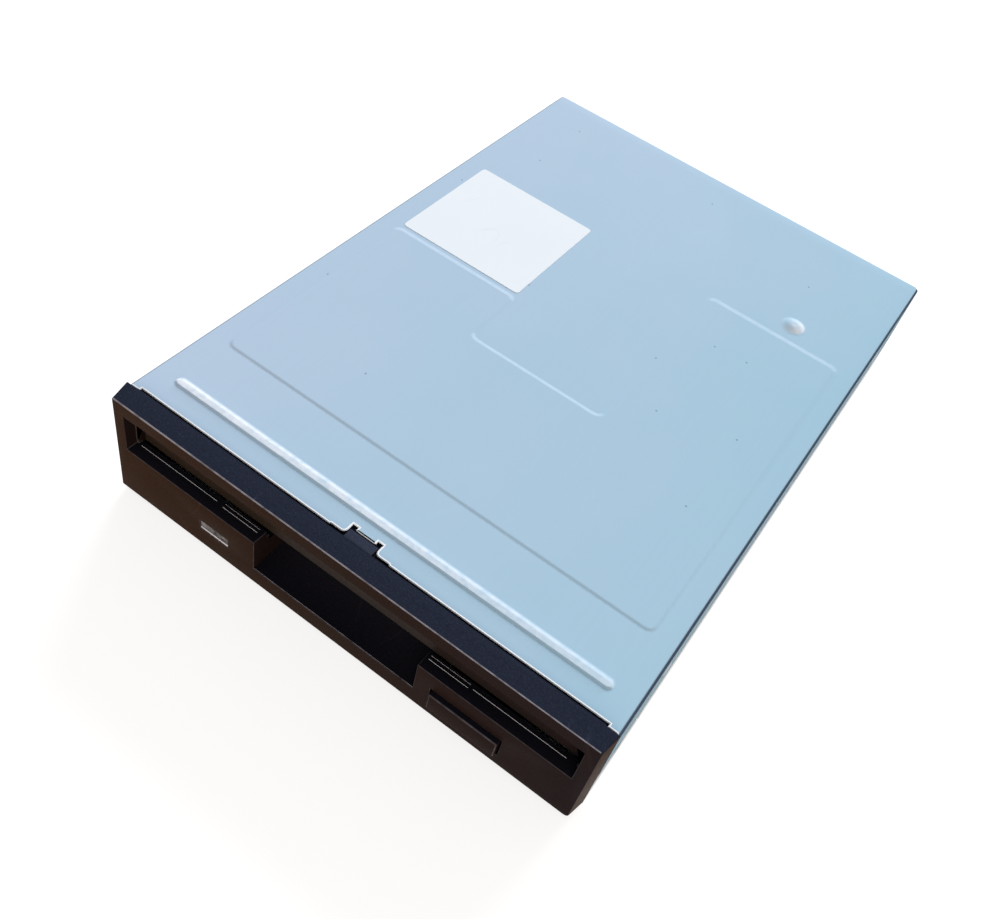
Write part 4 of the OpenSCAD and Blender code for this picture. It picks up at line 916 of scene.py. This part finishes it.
for name, node, width, wear_and_glint, wanted in (
        ("rounded_button", "eject_button", 0.2, 0.1, pressed_end),
        ("rounded_door", "slot_door", 0.25, 0.4, anywhere),
        ("smoked_lens", "lamp_lens", 0.12, 0.0, anywhere),
        ("rounded_signal_socket", "signal_connector", 0.15, 0.7, anywhere),
        ("rounded_power_socket", "power_connector", 0.15, 0.7, anywhere)):
    form = clean_form(node)
    round_edges(form, width, wear_and_glint, wanted)
    new_piece(name, finished_form(form, node), node)

# %% [markdown]
# The bezel needs more care. Its lower right corner has the largest radius, worn round. Its top front
# edge takes a pale painted highlight, strongest towards the left, and so does the front edge of the
# finger recess; the other front edges take a faint one. Its rear top edge ends a little short of the lid,
# which leaves a dark gap. Small functions pick the edges for each pass by the places of their ends.

# %% Edges of the bezel
BEZEL_GAP, BEZEL_REAR, SHELF_Z = 0.8, 4.9, 12.9
RECESS_REACH, RECESS_LEAST = 20.8, 20
WORN_CORNER, BEZEL_CORNER, BEZEL_TOP_EDGE, BEZEL_EDGE = 0.9, 0.35, 0.2, 0.12
# Strengths of the painted highlight on the bezel's edges.
TOP_GLINT, TOP_GLINT_DROP, TOP_GLINT_LEAST, RECESS_GLINT, EDGE_GLINT = 0.35, 0.8, 0.07, 0.6, 0.06
ON_FACE = FACE_Y + 0.5


def outer_corner(a, b):
    return min(abs(a.x), abs(b.x)) > HALF_W - 1.2 and abs(a.y - b.y) > 2 and abs(a.z - b.z) < 1.6


def worn_corner(a, b):
    return outer_corner(a, b) and max(a.z, b.z) < LID_TOP / 2 and a.x > 0


def other_corner(a, b):
    return outer_corner(a, b) and (a.x < 0 or a.z > LID_TOP / 2)


def top_front(a, b):
    return min(a.z, b.z) > LID_TOP and max(a.y, b.y) < ON_FACE


def recess_edge(a, b):
    across = max(abs(a.x), abs(b.x)) < RECESS_REACH and abs(a.x - b.x) > RECESS_LEAST
    return across and max(a.y, b.y) < ON_FACE and 1 < min(a.z, b.z) and max(a.z, b.z) < SHELF_Z - 2


def front_edge(a, b):
    top = min(a.z, b.z) > LID_TOP - 0.5 and (min(a.y, b.y) > FACE_Y + 3 or max(a.y, b.y) < ON_FACE)
    return max(a.y, b.y) < FACE_Y + 5 and not top


bezel = clean_form("front_bezel")
for vert in bezel.verts:
    if vert.co.z > (LID_TOP - 1) * MM and abs(vert.co.y / MM - FACE_Y - BEZEL_REAR) < 0.1:
        vert.co.y -= BEZEL_GAP * MM
round_edges(bezel, WORN_CORNER, 0.0, worn_corner)
round_edges(bezel, BEZEL_CORNER, 0.0, other_corner)
mark = bezel.faces.layers.float["edge"]
for face in round_edges(bezel, BEZEL_TOP_EDGE, 1.0, top_front):
    to_right = face.calc_center_median().x / MM / HALF_W
    face[mark] = min(max(TOP_GLINT - TOP_GLINT_DROP * to_right, TOP_GLINT_LEAST), 1)
round_edges(bezel, BEZEL_TOP_EDGE, RECESS_GLINT, recess_edge)
round_edges(bezel, BEZEL_EDGE, EDGE_GLINT, front_edge)
print("bezel:", len(bezel.faces), "faces")

# %% [markdown]
# The shelf that a disk slides over ends in a fine raised rim, stepped forward beside the finger recess.
# It is a row of small prisms with a pale material of its own, a painted highlight.

# %% Rims of the bezel's shelf
SHELF_DEPTH, STEP_DEPTH, LOWER_DEPTH = 2.3, 2.0, 2.75
SHELF_RUNS, STEP_RUNS = ((-46.6, -28.4), (27.2, 45.4)), ((-26.8, -18.8), (18.4, 26.4))
RIM_HALF_W, LOWER_HALF_W, RIM_SUNK = 0.07, 0.045, 0.05

# A pale painted highlight for the rims.
tree = new_finish("rim_highlight", Specular_IOR_Level=0.5)
painted_glint = effect(tree, "moulded_texture", Grain=1200)["Height"]
dress(tree, tint(painted_glint, (0.50, 0.50, 0.56, 1), (0.80, 0.80, 0.88, 1)), swing(painted_glint, 0.2, 0.4))


def add_rim(form, x_ends, depth, half_w):
    profile = ((-half_w, -RIM_SUNK), (half_w, -RIM_SUNK), (0, 0.8 * half_w))
    ends = [[form.verts.new(place(x, depth + d, SHELF_Z + h)) for d, h in profile] for x in x_ends]
    faces = [form.faces.new(ends[0][::-1]), form.faces.new(ends[1])]
    for i in range(3):
        j = (i + 1) % 3
        faces.append(form.faces.new((ends[0][i], ends[0][j], ends[1][j], ends[1][i])))
    bmesh.ops.recalc_face_normals(form, faces=faces)
    for face in faces:
        face.material_index = 1


for shelf_run, step_run in zip(SHELF_RUNS, STEP_RUNS):
    add_rim(bezel, shelf_run, SHELF_DEPTH, RIM_HALF_W)
    add_rim(bezel, step_run, STEP_DEPTH, RIM_HALF_W)
    add_rim(bezel, step_run, LOWER_DEPTH, LOWER_HALF_W)
bezel_mesh = finished_form(bezel, "moulded_bezel")
bezel_mesh.materials.append(finishes["bezel_plastic"])
bezel_mesh.materials.append(finishes["rim_highlight"])
new_piece("moulded_bezel", bezel_mesh, "front_bezel")

# %% [markdown]
# Springs and connector pins repeat one form many times, so each is a Geometry Nodes tree with named
# inputs: a spring is a spiral with a round wire swept along it, and a row of pins is one bent, pointed
# pin set on the points of a line. Running a tree on an empty mesh and keeping the result gives a plain
# mesh, which can then be moved to its place.

# %% Helpers for geometry trees
def end_tree(tree, geometry, slot):
    real = add(tree, "GeometryNodeRealizeInstances", {0: geometry}).outputs[0]
    feeds = {"Geometry": real, "Material": finishes[slot]}
    end_group(tree, Geometry=add(tree, "GeometryNodeSetMaterial", feeds).outputs[0])


def grown(tree, **values):
    seed = linked(tree.name, bpy.data.meshes.new(tree.name))
    modifier = seed.modifiers.new(tree.name, "NODES")
    modifier.node_group = tree
    for socket in tree.interface.items_tree:
        if socket.in_out == "INPUT" and socket.name in values:
            modifier[socket.identifier] = values[socket.name]
    return evaluated(seed)


def joined(name, meshes):
    form = bmesh.new()
    for mesh in meshes:
        form.from_mesh(mesh)
    result = as_mesh(form, name)
    result.materials.append(meshes[0].materials[0])
    return result


# %% [markdown]
# The two springs pull the slide plate forward. They are close coils of thin music wire, so the wire gets
# round sides and each turn many points. When a disk trips the latch, the slide and its button jump
# forward and the springs get shorter. The door's return spring is the same tree with other values, laid
# across the drive.

# %% Springs
TURN_POINTS, WIRE_SIDES = 28, 10
tree, given = new_group("coil", "GeometryNodeTree", Turns=10.0, Radius=0.001, Length=0.02, Wire=0.0002)
spiral = add(tree, "GeometryNodeCurveSpiral", {
    "Resolution": TURN_POINTS, "Rotations": given["Turns"], "Start Radius": given["Radius"],
    "End Radius": given["Radius"], "Height": given["Length"]}).outputs[0]
wire = add(tree, "GeometryNodeCurvePrimitiveCircle",
           {"Resolution": WIRE_SIDES, "Radius": given["Wire"]}).outputs[0]
swept = add(tree, "GeometryNodeCurveToMesh",
            {"Curve": spiral, "Profile Curve": wire, "Fill Caps": True}).outputs[0]
end_tree(tree, add(tree, "GeometryNodeSetShadeSmooth", {"Geometry": swept}).outputs[0], "spring_steel")
coil_tree = tree

EJECT_TURNS, EJECT_WIRE, EJECT_KEPT = 13.0, 0.2 * MM, 0.787
DOOR_TURNS, DOOR_WIRE = 3.0, 0.12 * MM


def laid_coil(start, axis, turn, outer_r, length, turns, wire):
    coil = grown(coil_tree, Turns=turns, Radius=outer_r - wire, Length=length - 2 * wire, Wire=wire)
    coil.transform(Matrix.Translation(start) @ Matrix.Rotation(turn, 4, axis))
    return coil


spring_low, spring_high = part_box("eject_springs")
spring_r, spring_z = (spring_high.z - spring_low.z) / 2, (spring_high.z + spring_low.z) / 2
spring_x = spring_high.x - spring_r
coils = [laid_coil((x, spring_low.y + EJECT_WIRE, spring_z), "X", -math.pi / 2, spring_r,
                   spring_high.y - spring_low.y, EJECT_TURNS, EJECT_WIRE) for x in (-spring_x, spring_x)]
eject_coils = new_piece("eject_coils", joined("eject_coils", coils), "eject_springs")
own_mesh(eject_coils)

door_low, door_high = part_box("door_spring")
door_start = (door_low.x + DOOR_WIRE, (door_low.y + door_high.y) / 2, (door_low.z + door_high.z) / 2)
door_coil = laid_coil(door_start, "Y", math.pi / 2, (door_high.z - door_low.z) / 2,
                      door_high.x - door_low.x, DOOR_TURNS, DOOR_WIRE)
new_piece("door_coil", door_coil, "door_spring")

# %% [markdown]
# The connector pins. A header's pins are square wire, pressed to a point at the free end and bent down
# into the board at the other. The tree makes one pin of a rod, a tip and a leg and repeats it.

# %% Tree for a row of pins
PIN_PITCH, PIN_SIDE, SIGNAL_COUNT, POWER_COUNT = 2.54, 0.64, 17, 4
POINT_LENGTH, POINT_END = 1.4, 0.28


def moved(geometry, spot=(0, 0, 0), turn=(0, 0, 0)):
    feeds = {"Geometry": geometry, "Translation": spot, "Rotation": turn}
    return add(geometry.id_data, "GeometryNodeTransform", feeds).outputs[0]


def triple(tree, x=0.0, y=0.0, z=0.0):
    return add(tree, "ShaderNodeCombineXYZ", {0: x, 1: y, 2: z}).outputs[0]


def bar(tree, x, y, z):
    return add(tree, "GeometryNodeMeshCube", {"Size": triple(tree, x, y, z)}).outputs[0]


tree, given = new_group("pin_row", "GeometryNodeTree", Count=SIGNAL_COUNT, Pitch=PIN_PITCH * MM,
                        Side=PIN_SIDE * MM, Reach=0.01, Drop=0.003)
wide, reach, drop = given["Side"], given["Reach"], given["Drop"]
point = times(wide, POINT_LENGTH)
straight = sums("SUBTRACT", reach, point)
rod = moved(bar(tree, wide, straight, wide), triple(tree, y=times(straight, 0.5)))
tip = add(tree, "GeometryNodeMeshCone", {
    "Vertices": 4, "Radius Top": times(wide, POINT_END),
    "Radius Bottom": times(wide, math.sqrt(0.5)), "Depth": point}).outputs[0]
tip = moved(tip, turn=(0, 0, math.pi / 4))
tip = moved(tip, triple(tree, y=straight), (-math.pi / 2, 0, 0))
sunk = times(sums("ADD", wide, drop), -0.5)
leg = moved(bar(tree, wide, wide, drop), triple(tree, y=times(wide, 0.5), z=sunk))
pin = add(tree, "GeometryNodeJoinGeometry")
for piece in (leg, tip, rod):
    tree.links.new(piece, pin.inputs[0])
width = times(given["Pitch"], sums("SUBTRACT", given["Count"], 1))
line = add(tree, "GeometryNodeMeshLine", {
    "Count": given["Count"], "Start Location": triple(tree, times(width, -0.5)),
    "Offset": triple(tree, given["Pitch"])}).outputs[0]
row = add(tree, "GeometryNodeInstanceOnPoints", {"Points": line, "Instance": pin.outputs[0]}).outputs[0]
end_tree(tree, row, "contact_gold")
pin_tree = tree
print("pin tree:", len(pin_tree.nodes), "nodes")

# %% [markdown]
# The signal header has two rows of seventeen, the power header one of four, and the upper signal row
# bends down further back, clear of the lower one.

# %% Connector pins
BOARD_TOP, POWER_PITCH = 3.6, 2.5
SIGNAL_ROWS = ((6.73, PIN_PITCH), (9.27, 0.0))


def pin_row(low, high, height, setback=0.0, **values):
    start_y = low.y + setback * MM
    row = grown(pin_tree, Reach=high.y - start_y, Drop=(height - PIN_SIDE / 2 - BOARD_TOP) * MM, **values)
    row.transform(Matrix.Translation(((low.x + high.x) / 2, start_y, height * MM)))
    return row


signal_box, power_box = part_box("signal_pins"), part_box("power_pins")
rows = [pin_row(*signal_box, height, setback, Count=SIGNAL_COUNT) for height, setback in SIGNAL_ROWS]
new_piece("signal_pin_rows", joined("signal_pin_rows", rows), "signal_pins")

power_z = power_box[1].z / MM - PIN_SIDE / 2
power_row = pin_row(*power_box, power_z, Count=POWER_COUNT, Pitch=POWER_PITCH * MM)
power_row.materials[0] = finishes["contact_tin"]
new_piece("power_pin_row", power_row, "power_pins")
